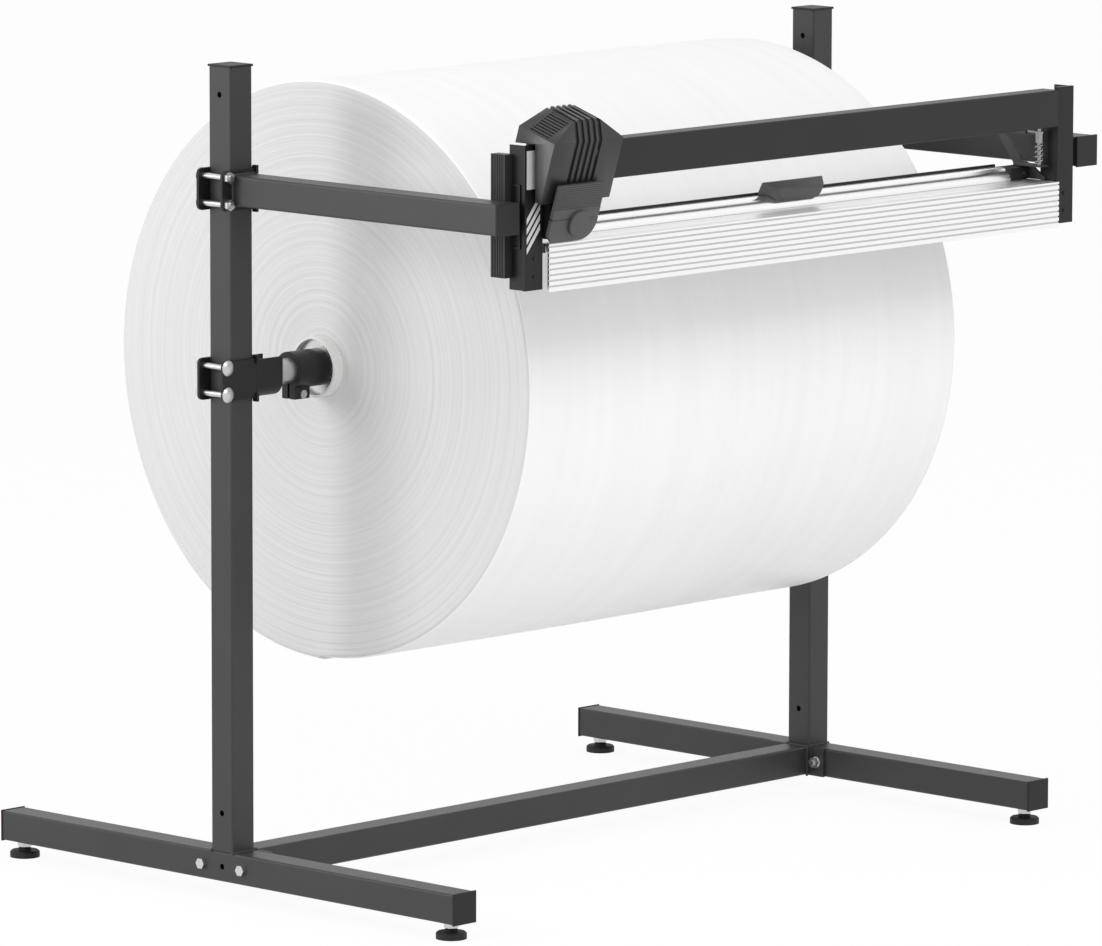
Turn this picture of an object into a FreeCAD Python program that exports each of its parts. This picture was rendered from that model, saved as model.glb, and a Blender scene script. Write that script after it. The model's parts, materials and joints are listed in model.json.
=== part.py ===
import FreeCAD, Part
import math
import os

from FreeCAD import Placement, Rotation, Vector

os.makedirs("parts", exist_ok=True)

# The axes: +X runs along the roll's axle, -Y is the front where the operator stands, +Z is up.
# Pieces are drawn about a point on the floor midway between the posts. Saving moves them back,
# so that the finished origin is the middle of the stand's footprint on the floor.

# Driving sizes of the stand
post_spacing = 1122.0
foot_length = 850.0
stand_height = 1095.0
floor_gap = 22.0
tube_size = 40.0
tube_wall = 2.0
tube_corner = 3.0
axle_below_top = 410.0
arm_below_top = 162.0
arm_reach = 500.0

# Names that end in _over_arm are heights from the arms' centre line,
# names that end in _past_arm are depths in front of the arms' front ends.

# Shared allowances
overrun = 1.0
parallel_share = 1e-6
running_gap = 0.3
pin_gap = 0.06
bolt_gap = 0.5

# Threaded fasteners
bolt_radius = 4.0
nut_flats = 13.0
nut_height = 6.5
thread_end = 2.0
washer_radius = 8.0
washer_thickness = 1.6
hex_head_height = 5.3
dome_radius = 10.3
dome_height = 4.6

# End caps of the square tubes
cap_thickness = 3.0
cap_lip = 0.8
cap_plug_depth = 12.0
cap_edge = 1.2

# Cross beam between the two feet
end_plate_width = 100.0
end_plate_thickness = 4.0
frame_bolt_offset = 37.0

# Round holes in the outer faces of the tubes
hole_radius = 4.0
upper_hole_below_top = 39.0
lower_hole_above_foot = 51.0

# Levelling feet
pad_radius = 20.0
pad_height = 9.0
pad_edge = 2.0
pad_neck_radius = 8.5
pad_neck_height = 3.0
stud_radius = 5.0
stud_in_tube = 30.0
jam_nut_flats = 17.0
jam_nut_height = 8.0
pad_inset = 25.0

# Clamps that grip the posts
clamp_thickness = 4.0
clamp_height = 55.0
clamp_corner = 7.0
rod_offset = 9.2
rod_margin = 9.3
rod_rise = 17.6
plate_height = 52.0
hook_height = 8.0
hook_front = 3.0
hook_top = 3.0
hook_gap = 0.3

# Open channels that carry the axle
channel_length = 50.0
channel_wall = 3.0
channel_radius = 20.0
channel_drop = 28.0
channel_rise = 23.5
bearing_top_below_axle = 9.0

# Axle, hubs, core and roll
axle_radius = 16.85
axle_wall = 2.6
axle_end_gap = 2.0
core_radius = 40.5
core_wall = 3.5
hub_left_gap = 30.0
hub_right_gap = 2.0
roll_radius = 376.0
core_left_bare = 16.0
core_right_bare = 4.0
roll_edge = 5.0
roll_ring_count = 24
roll_ring_depth = 1.0
roll_ring_turn_share = 1.7
hub_radius = 24.6
hub_reach = 45.0
hub_depth = 30.0
hub_cone_length = 22.0
hub_cone_lip = 2.0
hub_flange_length = 6.0
hub_slot = 4.0
lug_length = 27.0
lug_width = 24.0
lug_drop = 13.0
hub_screw_radius = 3.0
hub_screw_head_radius = 5.4
hub_screw_head_height = 3.4

# Mounting profiles on the inner faces of the arms
profile_depth = 13.0
profile_width = 24.5
profile_height = 157.0
profile_front_past_arm = -26.0
profile_rib_count = 7
profile_rib_depth = 1.0

# Side brackets of the cutter
bracket_front_past_arm = 0.0
bracket_back_past_arm = -30.0
bracket_thickness = 2.0
bracket_lip_width = 5.0
bracket_lip_rise = 3.0
bracket_top_reach = 7.0
bracket_width = 29.0
bracket_height = 184.0
bracket_below_arm = 93.5
flange_top_drop = 6.0
wing_back_past_arm = -88.0
wing_bottom_over_arm = 29.0
wing_top_over_arm = 68.0
frame_height = 82.0
frame_width = 16.0
frame_rim = 2.5
frame_rise = 2.0
low_rivet_rise = 17.0
rivet_pitch = 23.5
rivet_radius = 2.6
rivet_height = 1.2
socket_length = 20.0
ledge_length = 24.0
ledge_thickness = 3.0
ledge_drop = 12.0
ledge_front_past_arm = -26.0
ledge_back_past_arm = -72.0

# Guide beam
beam_height = 50.0
beam_depth = 29.0
beam_wall = 2.0
beam_corner = 2.0
beam_bottom_over_arm = 37.0

# Cutting table
table_front_past_arm = 7.4
table_top_over_arm = -36.0
table_front_height = 61.0
table_wall = 3.0
table_back_past_arm = -80.0
table_back_leg = 14.0
table_end_gap = 4.5
groove_front_past_arm = -1.0
groove_width = 2.5
groove_depth = 10.0
groove_wall = 1.8
rib_pitch = 7.2
rib_count = 8
rib_groove_depth = 1.5
rib_groove_width = 2.3

# Clamping rail
rail_end_length = 38.0
rail_front_past_arm = -46.0
rail_back_past_arm = -74.0
rail_height = 17.0
rail_nose_height = 3.0
rail_crown_back_past_arm = -64.0
rail_wall = 2.0
strip_thickness = 3.0
strip_rise = 3.0
rail_travel = 12.0
carrier_thickness = 3.5
carrier_gap = 0.5
carrier_tip_past_arm = -20.0
carrier_tip_over_arm = -32.0
carrier_toe_past_arm = -44.0
carrier_knee_over_arm = -16.0
carrier_knee_front_past_arm = -59.0
carrier_knee_front_over_arm = -12.0
carrier_strut_front_past_arm = -90.0
carrier_front_past_arm = -53.0
carrier_top_over_arm = 67.0
carrier_back_top_past_arm = -88.0
carrier_back_high_past_arm = -109.0
carrier_back_high_over_arm = 29.0
carrier_back_low_past_arm = -75.0
guide_pin_front_past_arm = -70.0
guide_pin_low_over_arm = 43.0
guide_pin_pitch = 16.0
guide_pin_radius = 3.9
guide_pin_head_radius = 7.0
guide_pin_head_height = 2.5
foot_top_over_arm = -15.0
foot_thickness = 2.5
spring_top_over_arm = 15.0
spring_radius = 5.4
spring_wire = 1.1
spring_turns = 4
spring_side_gap = 1.0
spring_centre_front_past_arm = -22.0
spring_stem_radius = 3.0
spring_collar_radius = 5.6
spring_collar_height = 12.5
spring_washer_radius = 6.8
spring_washer_thickness = 3.0
end_block_height = 17.0
rail_screw_radius = 3.2
rail_screw_inset = 9.6
rail_screw_height = 1.6

# Handle on the rail
handle_centre = 31.0
handle_top_width = 113.6
handle_low_width = 71.2
handle_rear_width = 103.4
handle_lip = 2.5
handle_top_front_past_arm = -54.0
handle_top_over_arm = -0.3
handle_crest_front_past_arm = -43.0
handle_crest_over_arm = -8.0
handle_bulge_front_past_arm = -39.5
handle_bulge_over_arm = -16.0
handle_low_front_past_arm = -43.5
handle_low_over_arm = -25.5
handle_back_past_arm = -70.0
handle_rear_over_arm = -16.0

# Cutter head, in its own leaning frame: width across, depth backwards, rise upwards
head_lean = 17.5
head_width = 126.0
head_ridge_width = 44.0
head_ridge_rise = 24.5
head_depth = 65.0
head_front_chamfer = 12.3
head_back_chamfer = 5.0
head_drop = 82.0
head_wall = 4.5
head_front_past_arm = 41.0
head_shoulder_over_arm = 95.0
head_park_gap = 42.0
head_back_plane_past_arm = 7.0
flute_count = 5
flute_width = 6.2
flute_depth = 3.3
flute_pitch = 10.6
flute_bottom = 58.0
fine_rib_count = 9
fine_rib_depth = 0.9
fine_rib_share = 0.45
fine_rib_front = 14.0
fine_rib_back = 49.0
boss_radius = 5.0
boss_offset = 25.0
boss_rise = -20.0

# Carriage inside the head
carriage_left = -36.5
carriage_right = 34.0
carriage_play = 0.8
carriage_wall = 4.7
core_bottom_over_arm = -30.0
core_back_past_arm = -20.0
core_top_gap = 3.0
pad_length = 16.0
pad_inset_x = 6.0
holder_width = 36.0
holder_depth = 8.0
holder_bottom_over_arm = -18.0
holder_height = 30.0
holder_slot_gap = 0.4
blade_width = 25.0
blade_thickness = 0.6
blade_bottom_over_arm = -34.0
blade_top_over_arm = 3.0
blade_slope = 12.0
blade_travel = 6.0

# Button, lower cover and lock knob on the head's front
panel_left = -47.0
panel_right = 38.0
panel_gap = 6.0
panel_thickness = 5.0
panel_corner = 3.0
button_top = -55.0
button_bottom = -101.0
button_post_radius = 4.0
button_post_reach = 5.0
button_post_offset = 22.0
button_post_rise = -72.0
button_rib_count = 12
button_rib_depth = 0.7
button_rib_share = 0.5
seam_gap = 0.6
cover_bottom = -132.0
cover_round = 26.0
cover_chamfer = 9.0
cover_leg_width = 40.0
knob_centre = 1.0
knob_rise = -107.0
knob_radius = 17.0
knob_thickness = 5.0
knob_pin_radius = 4.0
knob_pin_length = 9.5
knob_edge = 1.2

# Blank plate on the left bracket
label_width = 19.0
label_height = 49.0
label_bottom_over_arm = 35.0
label_thickness = 0.4
stripe_count = 4
stripe_width = 24.0
stripe_rise = 30.0
stripe_height = 7.5
stripe_pitch = 12.5
stripe_bottom_over_arm = -47.0

# Places worked out from the driving sizes
axle_height = stand_height - axle_below_top
arm_height = stand_height - arm_below_top
wing_bottom = arm_height + wing_bottom_over_arm
wing_top = arm_height + wing_top_over_arm
beam_bottom = arm_height + beam_bottom_over_arm
table_top = arm_height + table_top_over_arm
carrier_tip_height = arm_height + carrier_tip_over_arm
carrier_knee_height = arm_height + carrier_knee_over_arm
carrier_knee_front_height = arm_height + carrier_knee_front_over_arm
carrier_top = arm_height + carrier_top_over_arm
carrier_back_high_height = arm_height + carrier_back_high_over_arm
guide_pin_low = arm_height + guide_pin_low_over_arm
foot_top = arm_height + foot_top_over_arm
spring_top = arm_height + spring_top_over_arm
handle_top = arm_height + handle_top_over_arm
handle_crest = arm_height + handle_crest_over_arm
handle_bulge = arm_height + handle_bulge_over_arm
handle_low = arm_height + handle_low_over_arm
handle_rear = arm_height + handle_rear_over_arm
head_shoulder_height = arm_height + head_shoulder_over_arm
core_bottom = arm_height + core_bottom_over_arm
holder_bottom = arm_height + holder_bottom_over_arm
blade_bottom = arm_height + blade_bottom_over_arm
blade_top = arm_height + blade_top_over_arm
label_bottom = arm_height + label_bottom_over_arm
stripe_bottom = arm_height + stripe_bottom_over_arm

beam_front = arm_reach
profile_front = arm_reach + profile_front_past_arm
bracket_front = arm_reach + bracket_front_past_arm
bracket_back = arm_reach + bracket_back_past_arm
wing_back = arm_reach + wing_back_past_arm
ledge_front = arm_reach + ledge_front_past_arm
ledge_back = arm_reach + ledge_back_past_arm
table_front = arm_reach + table_front_past_arm
table_back = arm_reach + table_back_past_arm
groove_front = arm_reach + groove_front_past_arm
rail_front = arm_reach + rail_front_past_arm
rail_back = arm_reach + rail_back_past_arm
rail_crown_back = arm_reach + rail_crown_back_past_arm
carrier_tip = arm_reach + carrier_tip_past_arm
carrier_toe = arm_reach + carrier_toe_past_arm
carrier_knee_front = arm_reach + carrier_knee_front_past_arm
carrier_strut_front = arm_reach + carrier_strut_front_past_arm
carrier_front = arm_reach + carrier_front_past_arm
carrier_back_top = arm_reach + carrier_back_top_past_arm
carrier_back_high = arm_reach + carrier_back_high_past_arm
carrier_back_low = arm_reach + carrier_back_low_past_arm
guide_pin_front = arm_reach + guide_pin_front_past_arm
spring_centre_front = arm_reach + spring_centre_front_past_arm
handle_top_front = arm_reach + handle_top_front_past_arm
handle_crest_front = arm_reach + handle_crest_front_past_arm
handle_bulge_front = arm_reach + handle_bulge_front_past_arm
handle_low_front = arm_reach + handle_low_front_past_arm
handle_back = arm_reach + handle_back_past_arm
head_front = arm_reach + head_front_past_arm
head_back_plane = arm_reach + head_back_plane_past_arm
core_back = arm_reach + core_back_past_arm

post_x = post_spacing / 2
half_tube = tube_size / 2
outer_face = post_x + half_tube
inner_face = post_x - half_tube
foot_top_z = floor_gap + tube_size
foot_centre_z = floor_gap + half_tube
post_top_z = stand_height - cap_thickness
rod_x = outer_face + rod_offset
ear_x = rod_x + rod_margin
clamp_inner_x = inner_face - clamp_thickness
clamp_face = half_tube + clamp_thickness
bracket_outer_x = inner_face - profile_depth
bracket_inner_x = bracket_outer_x - bracket_width
bracket_floor_z = arm_height - bracket_below_arm
channel_mid_x = bracket_outer_x - bracket_width / 2
table_half_length = bracket_inner_x - table_end_gap
carrier_outer_x = bracket_inner_x - carrier_gap
carrier_inner_x = carrier_outer_x - carrier_thickness
spring_reach = spring_radius + spring_wire + spring_side_gap
spring_x = carrier_inner_x - spring_reach
rail_bottom_z = table_top + running_gap
beam_back = beam_front - beam_depth
beam_top = beam_bottom + beam_height
channel_end_x = clamp_inner_x - channel_length
axle_half_length = clamp_inner_x - axle_end_gap
core_left_end = channel_end_x - hub_left_gap - hub_reach
core_right_end = channel_end_x - hub_right_gap - hub_reach
roll_left_end = core_left_end - core_left_bare
roll_right_end = core_right_end - core_right_bare
rail_half_length = carrier_inner_x - rail_end_length
head_start = -bracket_inner_x + head_park_gap
groove_centre = groove_front - groove_width / 2

X_AXIS = Vector(1, 0, 0)
Y_AXIS = Vector(0, 1, 0)
Z_AXIS = Vector(0, 0, 1)
HEAD_PLACE = Placement(
    Vector(head_start, -head_front, head_shoulder_height), Rotation(X_AXIS, head_lean)
)
FOOTPRINT_SHIFT = Vector(0, (head_front - foot_length / 2) / 2, 0)


def box(x_range, y_range, z_range):
    """A box from its low and high limits on each axis."""
    corner = Vector(min(x_range), min(y_range), min(z_range))
    width = max(x_range) - min(x_range)
    depth = max(y_range) - min(y_range)
    height = max(z_range) - min(z_range)
    return Part.makeBox(width, depth, height, corner)


def rod(radius, start, axis, length):
    """A round bar from a start point along an axis."""
    return Part.makeCylinder(radius, length, start, axis)


def edges_along(shape, axis):
    """The straight edges of a shape that run along an axis."""
    found = []
    for edge in shape.Edges:
        if isinstance(edge.Curve, Part.Line):
            start = edge.Vertexes[0].Point
            end = edge.Vertexes[-1].Point
            run = (end - start).normalize()
            if abs(abs(run.dot(axis)) - 1) < parallel_share:
                found.append(edge)
    return found


def rounded_box(x_range, y_range, z_range, axis, radius):
    """A box whose edges along one axis are rounded."""
    block = box(x_range, y_range, z_range)
    return block.makeFillet(radius, edges_along(block, axis))


def square_tube(x_range, y_range, z_range, axis, wall, corner):
    """A hollow rectangular tube that is open at both ends."""
    outer = rounded_box(x_range, y_range, z_range, axis, corner)
    limits = []
    for limit, direction in zip((x_range, y_range, z_range), (X_AXIS, Y_AXIS, Z_AXIS)):
        step = overrun if direction == axis else -wall
        limits.append((min(limit) - step, max(limit) + step))
    inner_corner = max(corner - wall, wall / 2)
    return outer.cut(rounded_box(*limits, axis, inner_corner))


def face_of(points):
    """A flat face with a closed outline of straight sides."""
    return Part.Face(Part.makePolygon(points + [points[0]]))


def outline_face(edges):
    """A flat face from a chain of lines and arcs."""
    return Part.Face(Part.Wire([edge.toShape() for edge in edges]))


def line(start, end):
    return Part.LineSegment(start, end)


def hexagon(flats, height, centre, axis):
    """A hexagonal bar whose end face is centred on a point."""
    side = X_AXIS if abs(axis.dot(X_AXIS)) < 0.5 else Z_AXIS
    across = axis.cross(side)
    corner_radius = flats / 2 / math.cos(math.pi / 6)
    points = []
    for index in range(6):
        angle = math.radians(60 * index + 30)
        reach = side * (corner_radius * math.cos(angle)) + across * (corner_radius * math.sin(angle))
        points.append(centre + reach)
    return face_of(points).extrude(axis * height)


def nut(flats, height, bore_radius, centre, axis):
    """A hexagonal nut with its bore."""
    body = hexagon(flats, height, centre, axis)
    return body.cut(rod(bore_radius, centre - axis * overrun, axis, height + 2 * overrun))


def dome(radius, height, centre, axis):
    """A low round head: the cap of a ball, standing on a face."""
    ball_radius = (radius**2 + height**2) / (2 * height)
    ball = Part.makeSphere(ball_radius, centre + axis * (height - ball_radius), axis)
    return ball.common(rod(radius, centre, axis, height))


def mirrored(shape):
    """The same piece on the other side of the stand."""
    return shape.mirror(Vector(0, 0, 0), X_AXIS)


def group(solids):
    """Several separate solids kept under one name."""
    return Part.makeCompound(solids)


def in_head(shape):
    """A piece drawn in the head's leaning frame, put in its real place."""
    shape.Placement = HEAD_PLACE.multiply(shape.Placement)
    return shape


# Stand


def foot_tube(post_place):
    """One foot: a square tube along Y with its bolt, stud and sight holes."""
    low, high = post_place - half_tube, post_place + half_tube
    ends = foot_length / 2 - cap_thickness
    tube = square_tube(
        (low, high), (-ends, ends), (floor_gap, foot_top_z), Y_AXIS, tube_wall, tube_corner
    )
    bolt_hole = bolt_radius + bolt_gap
    for offset in (-frame_bolt_offset, frame_bolt_offset):
        start = Vector(low - overrun, offset, foot_centre_z)
        tube = tube.cut(rod(bolt_hole, start, X_AXIS, tube_size + 2 * overrun))
    for end in (-1, 1):
        start = Vector(post_place, end * (foot_length / 2 - pad_inset), floor_gap - overrun)
        tube = tube.cut(rod(stud_radius + running_gap, start, Z_AXIS, tube_wall + 2 * overrun))
    outer = high if post_place > 0 else low
    start = Vector(outer - tube_wall - overrun, 0, foot_centre_z)
    return tube.cut(rod(hole_radius, start, X_AXIS, 2 * (tube_wall + overrun)))


def post(post_place):
    """One upright square tube with a cross hole near each end."""
    low, high = post_place - half_tube, post_place + half_tube
    tube = square_tube(
        (low, high), (-half_tube, half_tube), (foot_top_z, post_top_z), Z_AXIS, tube_wall, tube_corner
    )
    for height in (stand_height - upper_hole_below_top, foot_top_z + lower_hole_above_foot):
        start = Vector(low - overrun, 0, height)
        tube = tube.cut(rod(hole_radius, start, X_AXIS, tube_size + 2 * overrun))
    return tube


def tube_cap(centre, axis):
    """A push-in end cap: a lipped plate with a plug inside the square tube."""
    reach = half_tube + cap_lip
    plug = half_tube - tube_wall - running_gap
    plate = box((-reach, reach), (-reach, reach), (0, cap_thickness))
    top_edges = [edge for edge in plate.Edges if edge.CenterOfMass.z > cap_thickness / 2]
    plate = plate.makeFillet(cap_edge, top_edges)
    plate = plate.fuse(box((-plug, plug), (-plug, plug), (-cap_plug_depth, 0)))
    plate.Placement = Placement(centre, Rotation(Z_AXIS, axis))
    return plate


def post_caps():
    return group([tube_cap(Vector(side * post_x, 0, post_top_z), Z_AXIS) for side in (-1, 1)])


def foot_end_caps():
    caps = []
    for side in (-1, 1):
        for end in (-1, 1):
            centre = Vector(side * post_x, end * (foot_length / 2 - cap_thickness), foot_centre_z)
            caps.append(tube_cap(centre, Y_AXIS * end))
    return group(caps)


def cross_beam():
    ends = inner_face - end_plate_thickness
    return square_tube(
        (-ends, ends), (-half_tube, half_tube), (floor_gap, foot_top_z), X_AXIS, tube_wall, tube_corner
    )


def cross_beam_end_plates():
    plates = []
    for side in (-1, 1):
        near = side * (inner_face - end_plate_thickness)
        width = end_plate_width / 2
        plate = box((near, side * inner_face), (-width, width), (floor_gap, foot_top_z))
        for offset in (-frame_bolt_offset, frame_bolt_offset):
            start = Vector(min(near, side * inner_face) - overrun, offset, foot_centre_z)
            length = end_plate_thickness + 2 * overrun
            plate = plate.cut(rod(bolt_radius + bolt_gap, start, X_AXIS, length))
        plates.append(plate)
    return group(plates)


def frame_fasteners():
    """Hexagonal bolts through the feet, and their flanged nuts on the beam's plates."""
    bolts = []
    nuts = []
    for side in (-1, 1):
        inward = X_AXIS * -side
        for offset in (-frame_bolt_offset, frame_bolt_offset):
            head = Vector(side * outer_face, offset, foot_centre_z)
            seat = Vector(side * (inner_face - end_plate_thickness), offset, foot_centre_z)
            grip = tube_size + end_plate_thickness + washer_thickness + nut_height + thread_end
            bolt = hexagon(nut_flats, hex_head_height, head - inward * hex_head_height, inward)
            bolts.append(bolt.fuse(rod(bolt_radius, head, inward, grip)))
            bore = bolt_radius + pin_gap
            washer = rod(washer_radius, seat, inward, washer_thickness)
            washer = washer.cut(rod(bore, seat - inward * overrun, inward, washer_thickness + 2 * overrun))
            nuts.append(washer.fuse(nut(nut_flats, nut_height, bore, seat + inward * washer_thickness, inward)))
    return group(bolts), group(nuts)


def pad_place(side, end):
    return Vector(side * post_x, end * (foot_length / 2 - pad_inset), 0)


def levelling_foot(side, end):
    """A round pad with the threaded stud that screws into the foot."""
    base = pad_place(side, end)
    pad = rod(pad_radius, base, Z_AXIS, pad_height)
    rims = [edge for edge in pad.Edges if isinstance(edge.Curve, Part.Circle)]
    pad = pad.makeChamfer(pad_edge, [edge for edge in rims if edge.CenterOfMass.z > pad_height / 2])
    pad = pad.fuse(rod(pad_neck_radius, base, Z_AXIS, pad_height + pad_neck_height))
    return pad.fuse(rod(stud_radius, base, Z_AXIS, floor_gap + stud_in_tube)).removeSplitter()


def levelling_jam_nuts():
    nuts = []
    for side in (-1, 1):
        for end in (-1, 1):
            centre = pad_place(side, end) + Z_AXIS * (floor_gap - jam_nut_height)
            nuts.append(nut(jam_nut_flats, jam_nut_height, stud_radius + running_gap, centre, Z_AXIS))
    return group(nuts)


# Clamps on the posts, drawn for the right post and mirrored for the left one


def rod_places(height):
    return [Vector(rod_x, 0, height + rise) for rise in (-rod_rise, rod_rise)]


def clamp_bracket(height):
    """The bent half of a clamp: a back plate, a side plate and two hooks."""
    low, high = height - clamp_height / 2, height + clamp_height / 2
    back = box((clamp_inner_x, ear_x), (half_tube, clamp_face), (low, high))
    corners = [edge for edge in edges_along(back, Y_AXIS) if edge.CenterOfMass.x > rod_x]
    back = back.makeFillet(clamp_corner, corners)
    side = box((clamp_inner_x, inner_face), (-half_tube, clamp_face), (low, high))
    bracket = back.fuse(side)
    for end, root in ((1, high), (-1, low)):
        hook = box(
            (clamp_inner_x, inner_face),
            (-clamp_face - hook_front, -half_tube + overrun),
            (root - end * hook_height, root + end * hook_top),
        )
        bracket = bracket.fuse(hook)
    for place in rod_places(height):
        start = place + Y_AXIS * (half_tube - overrun)
        bracket = bracket.cut(rod(bolt_radius + bolt_gap, start, Y_AXIS, clamp_thickness + 2 * overrun))
    return bracket.removeSplitter()


def clamp_plate(height):
    """The flat front half of a clamp, notched for the two hooks."""
    low, high = height - plate_height / 2, height + plate_height / 2
    plate = box((clamp_inner_x, ear_x), (-clamp_face, -half_tube), (low, high))
    corners = [edge for edge in edges_along(plate, Y_AXIS) if edge.CenterOfMass.x > rod_x]
    plate = plate.makeFillet(clamp_corner, corners)
    notch = clamp_height / 2 - hook_height - hook_gap
    for end in (-1, 1):
        plate = plate.cut(
            box(
                (clamp_inner_x - overrun, inner_face + hook_gap),
                (-clamp_face - overrun, -half_tube + overrun),
                (height + end * notch, height + end * (plate_height / 2 + overrun)),
            )
        )
    for place in rod_places(height):
        start = place - Y_AXIS * (clamp_face + overrun)
        plate = plate.cut(rod(bolt_radius + bolt_gap, start, Y_AXIS, clamp_thickness + 2 * overrun))
    return plate


def clamp_fasteners(height, head_at_front):
    """Two dome-headed bolts and their nuts across a clamp, for both posts."""
    forward = -1 if head_at_front else 1
    inward = Y_AXIS * -forward
    bolts = []
    nuts = []
    for place in rod_places(height):
        head = place - inward * clamp_face
        length = 2 * clamp_face + nut_height + thread_end
        bolt = dome(dome_radius, dome_height, head, inward * -1).fuse(rod(bolt_radius, head, inward, length))
        far = place + inward * clamp_face
        ring = nut(nut_flats, nut_height, bolt_radius + pin_gap, far, inward)
        bolts.extend([bolt, mirrored(bolt)])
        nuts.extend([ring, mirrored(ring)])
    return group(bolts), group(nuts)


# Axle carriers


def channel_profile(radius, low, high, start):
    """A U-shaped face: a half round floor with straight walls up to a height."""
    centre_z = low + radius
    left_top = Vector(start, -radius, high)
    left_low = Vector(start, -radius, centre_z)
    bottom = Vector(start, 0, low)
    right_low = Vector(start, radius, centre_z)
    right_top = Vector(start, radius, high)
    edges = [line(left_top, left_low), Part.Arc(left_low, bottom, right_low)]
    edges.extend([line(right_low, right_top), line(right_top, left_top)])
    return outline_face(edges)


def saddle_bracket():
    """The post clamp's bent half with the open channel that holds the axle's end."""
    low = axle_height - channel_drop
    high = axle_height + channel_rise
    outside = channel_profile(channel_radius, low, high, channel_end_x)
    inside_radius = channel_radius - channel_wall
    inside = channel_profile(inside_radius, low + channel_wall, high + overrun, channel_end_x - overrun)
    channel = outside.extrude(X_AXIS * channel_length)
    channel = channel.cut(inside.extrude(X_AXIS * (channel_length + overrun)))
    return clamp_bracket(axle_height).fuse(channel).removeSplitter()


def bearing_pad():
    """The hard-wearing block on the channel's floor, hollowed to the axle's radius."""
    radius = channel_radius - channel_wall
    low = axle_height - channel_drop + channel_wall
    fill = channel_profile(radius, low, axle_height, channel_end_x).extrude(X_AXIS * channel_length)
    above = box(
        (channel_end_x - overrun, clamp_inner_x + overrun),
        (-channel_radius, channel_radius),
        (axle_height - bearing_top_below_axle, axle_height + overrun),
    )
    start = Vector(channel_end_x - overrun, 0, axle_height)
    seat = rod(axle_radius + pin_gap, start, X_AXIS, channel_length + 2 * overrun)
    return fill.cut(above).cut(seat)


def ring(outer, inner, start, length):
    """A hollow round bar along X."""
    begin = Vector(start, 0, axle_height)
    bore = rod(inner, begin - X_AXIS * overrun, X_AXIS, length + 2 * overrun)
    return rod(outer, begin, X_AXIS, length).cut(bore)


def hub(core_end, side):
    """A clamp hub: a split sleeve with two ears."""
    outer_end = core_end + hub_reach
    sleeve = rod(hub_radius, Vector(core_end - hub_depth, 0, axle_height), X_AXIS, hub_reach + hub_depth)
    lug_low = axle_height - hub_radius - lug_drop
    lug = box((outer_end - lug_length, outer_end), (-lug_width / 2, lug_width / 2), (lug_low, axle_height))
    body = sleeve.fuse(lug)
    bore_start = Vector(core_end - hub_depth - overrun, 0, axle_height)
    bore_length = hub_reach + hub_depth + 2 * overrun
    body = body.cut(rod(axle_radius + pin_gap, bore_start, X_AXIS, bore_length))
    slot = box(
        (outer_end - lug_length - overrun, outer_end + overrun),
        (-hub_slot / 2, hub_slot / 2),
        (lug_low - overrun, axle_height),
    )
    body = body.cut(slot)
    place = hub_screw_place(core_end)
    start = place - Y_AXIS * (lug_width / 2 + overrun)
    body = body.cut(rod(hub_screw_radius + pin_gap, start, Y_AXIS, lug_width + 2 * overrun))
    return body if side > 0 else mirrored(body)


def hub_screw_place(core_end):
    middle = core_end + hub_reach - lug_length / 2
    return Vector(middle, 0, axle_height - hub_radius - lug_drop / 2)


def hub_cones():
    """The turned cones on the hubs' inner ends, which centre the core."""
    taper = hub_cone_length - hub_flange_length
    cone_radius = core_radius - core_wall - running_gap
    cones = []
    for core_end, side in ((core_left_end, -1), (core_right_end, 1)):
        start = Vector(core_end - hub_depth, 0, axle_height)
        cone = Part.makeCone(hub_radius + hub_cone_lip, cone_radius, taper, start, X_AXIS)
        flange = rod(cone_radius, start + X_AXIS * taper, X_AXIS, hub_flange_length)
        bore = rod(hub_radius + pin_gap, start - X_AXIS * overrun, X_AXIS, hub_cone_length + 2 * overrun)
        body = cone.fuse(flange).cut(bore)
        cones.append(body if side > 0 else mirrored(body))
    return group(cones)


def hub_screws():
    """The screws that draw the hubs' ears together on the axle."""
    screws = []
    for core_end, side in ((core_left_end, -1), (core_right_end, 1)):
        head = hub_screw_place(core_end) - Y_AXIS * (lug_width / 2)
        shank = rod(hub_screw_radius, head, Y_AXIS, lug_width + thread_end)
        top = rod(hub_screw_head_radius, head - Y_AXIS * hub_screw_head_height, Y_AXIS, hub_screw_head_height)
        screw = shank.fuse(top)
        screws.append(screw if side > 0 else mirrored(screw))
    return group(screws)


def wrap_roll():
    """The wound wrap: on its end faces the windings stand out by uneven amounts, ring by ring."""
    ring_width = (roll_radius - core_radius - roll_edge) / roll_ring_count
    left = []
    right = []
    for index in range(roll_ring_count):
        low = axle_height + core_radius + ring_width * index
        dip = roll_ring_depth * (1 + math.sin(roll_ring_turn_share * index)) / 2
        for height in (low, low + ring_width):
            left.append(Vector(-roll_left_end + dip, 0, height))
            right.append(Vector(roll_right_end - dip, 0, height))
    top = axle_height + roll_radius
    left.append(Vector(-roll_left_end + roll_edge, 0, top))
    right.append(Vector(roll_right_end - roll_edge, 0, top))
    return face_of(left + right[::-1]).revolve(Vector(0, 0, axle_height), X_AXIS, 360)


# Cutter frame


def arm():
    """A square arm that reaches forward from the post clamp's front plate."""
    tube = square_tube(
        (inner_face, outer_face),
        (-arm_reach + cap_thickness, -clamp_face),
        (arm_height - half_tube, arm_height + half_tube),
        Y_AXIS,
        tube_wall,
        tube_corner,
    )
    return cut_bracket_holes(tube)


def arm_end_caps():
    cap = tube_cap(Vector(post_x, -arm_reach + cap_thickness, arm_height), Y_AXIS * -1)
    return group([cap, mirrored(cap)])


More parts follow.
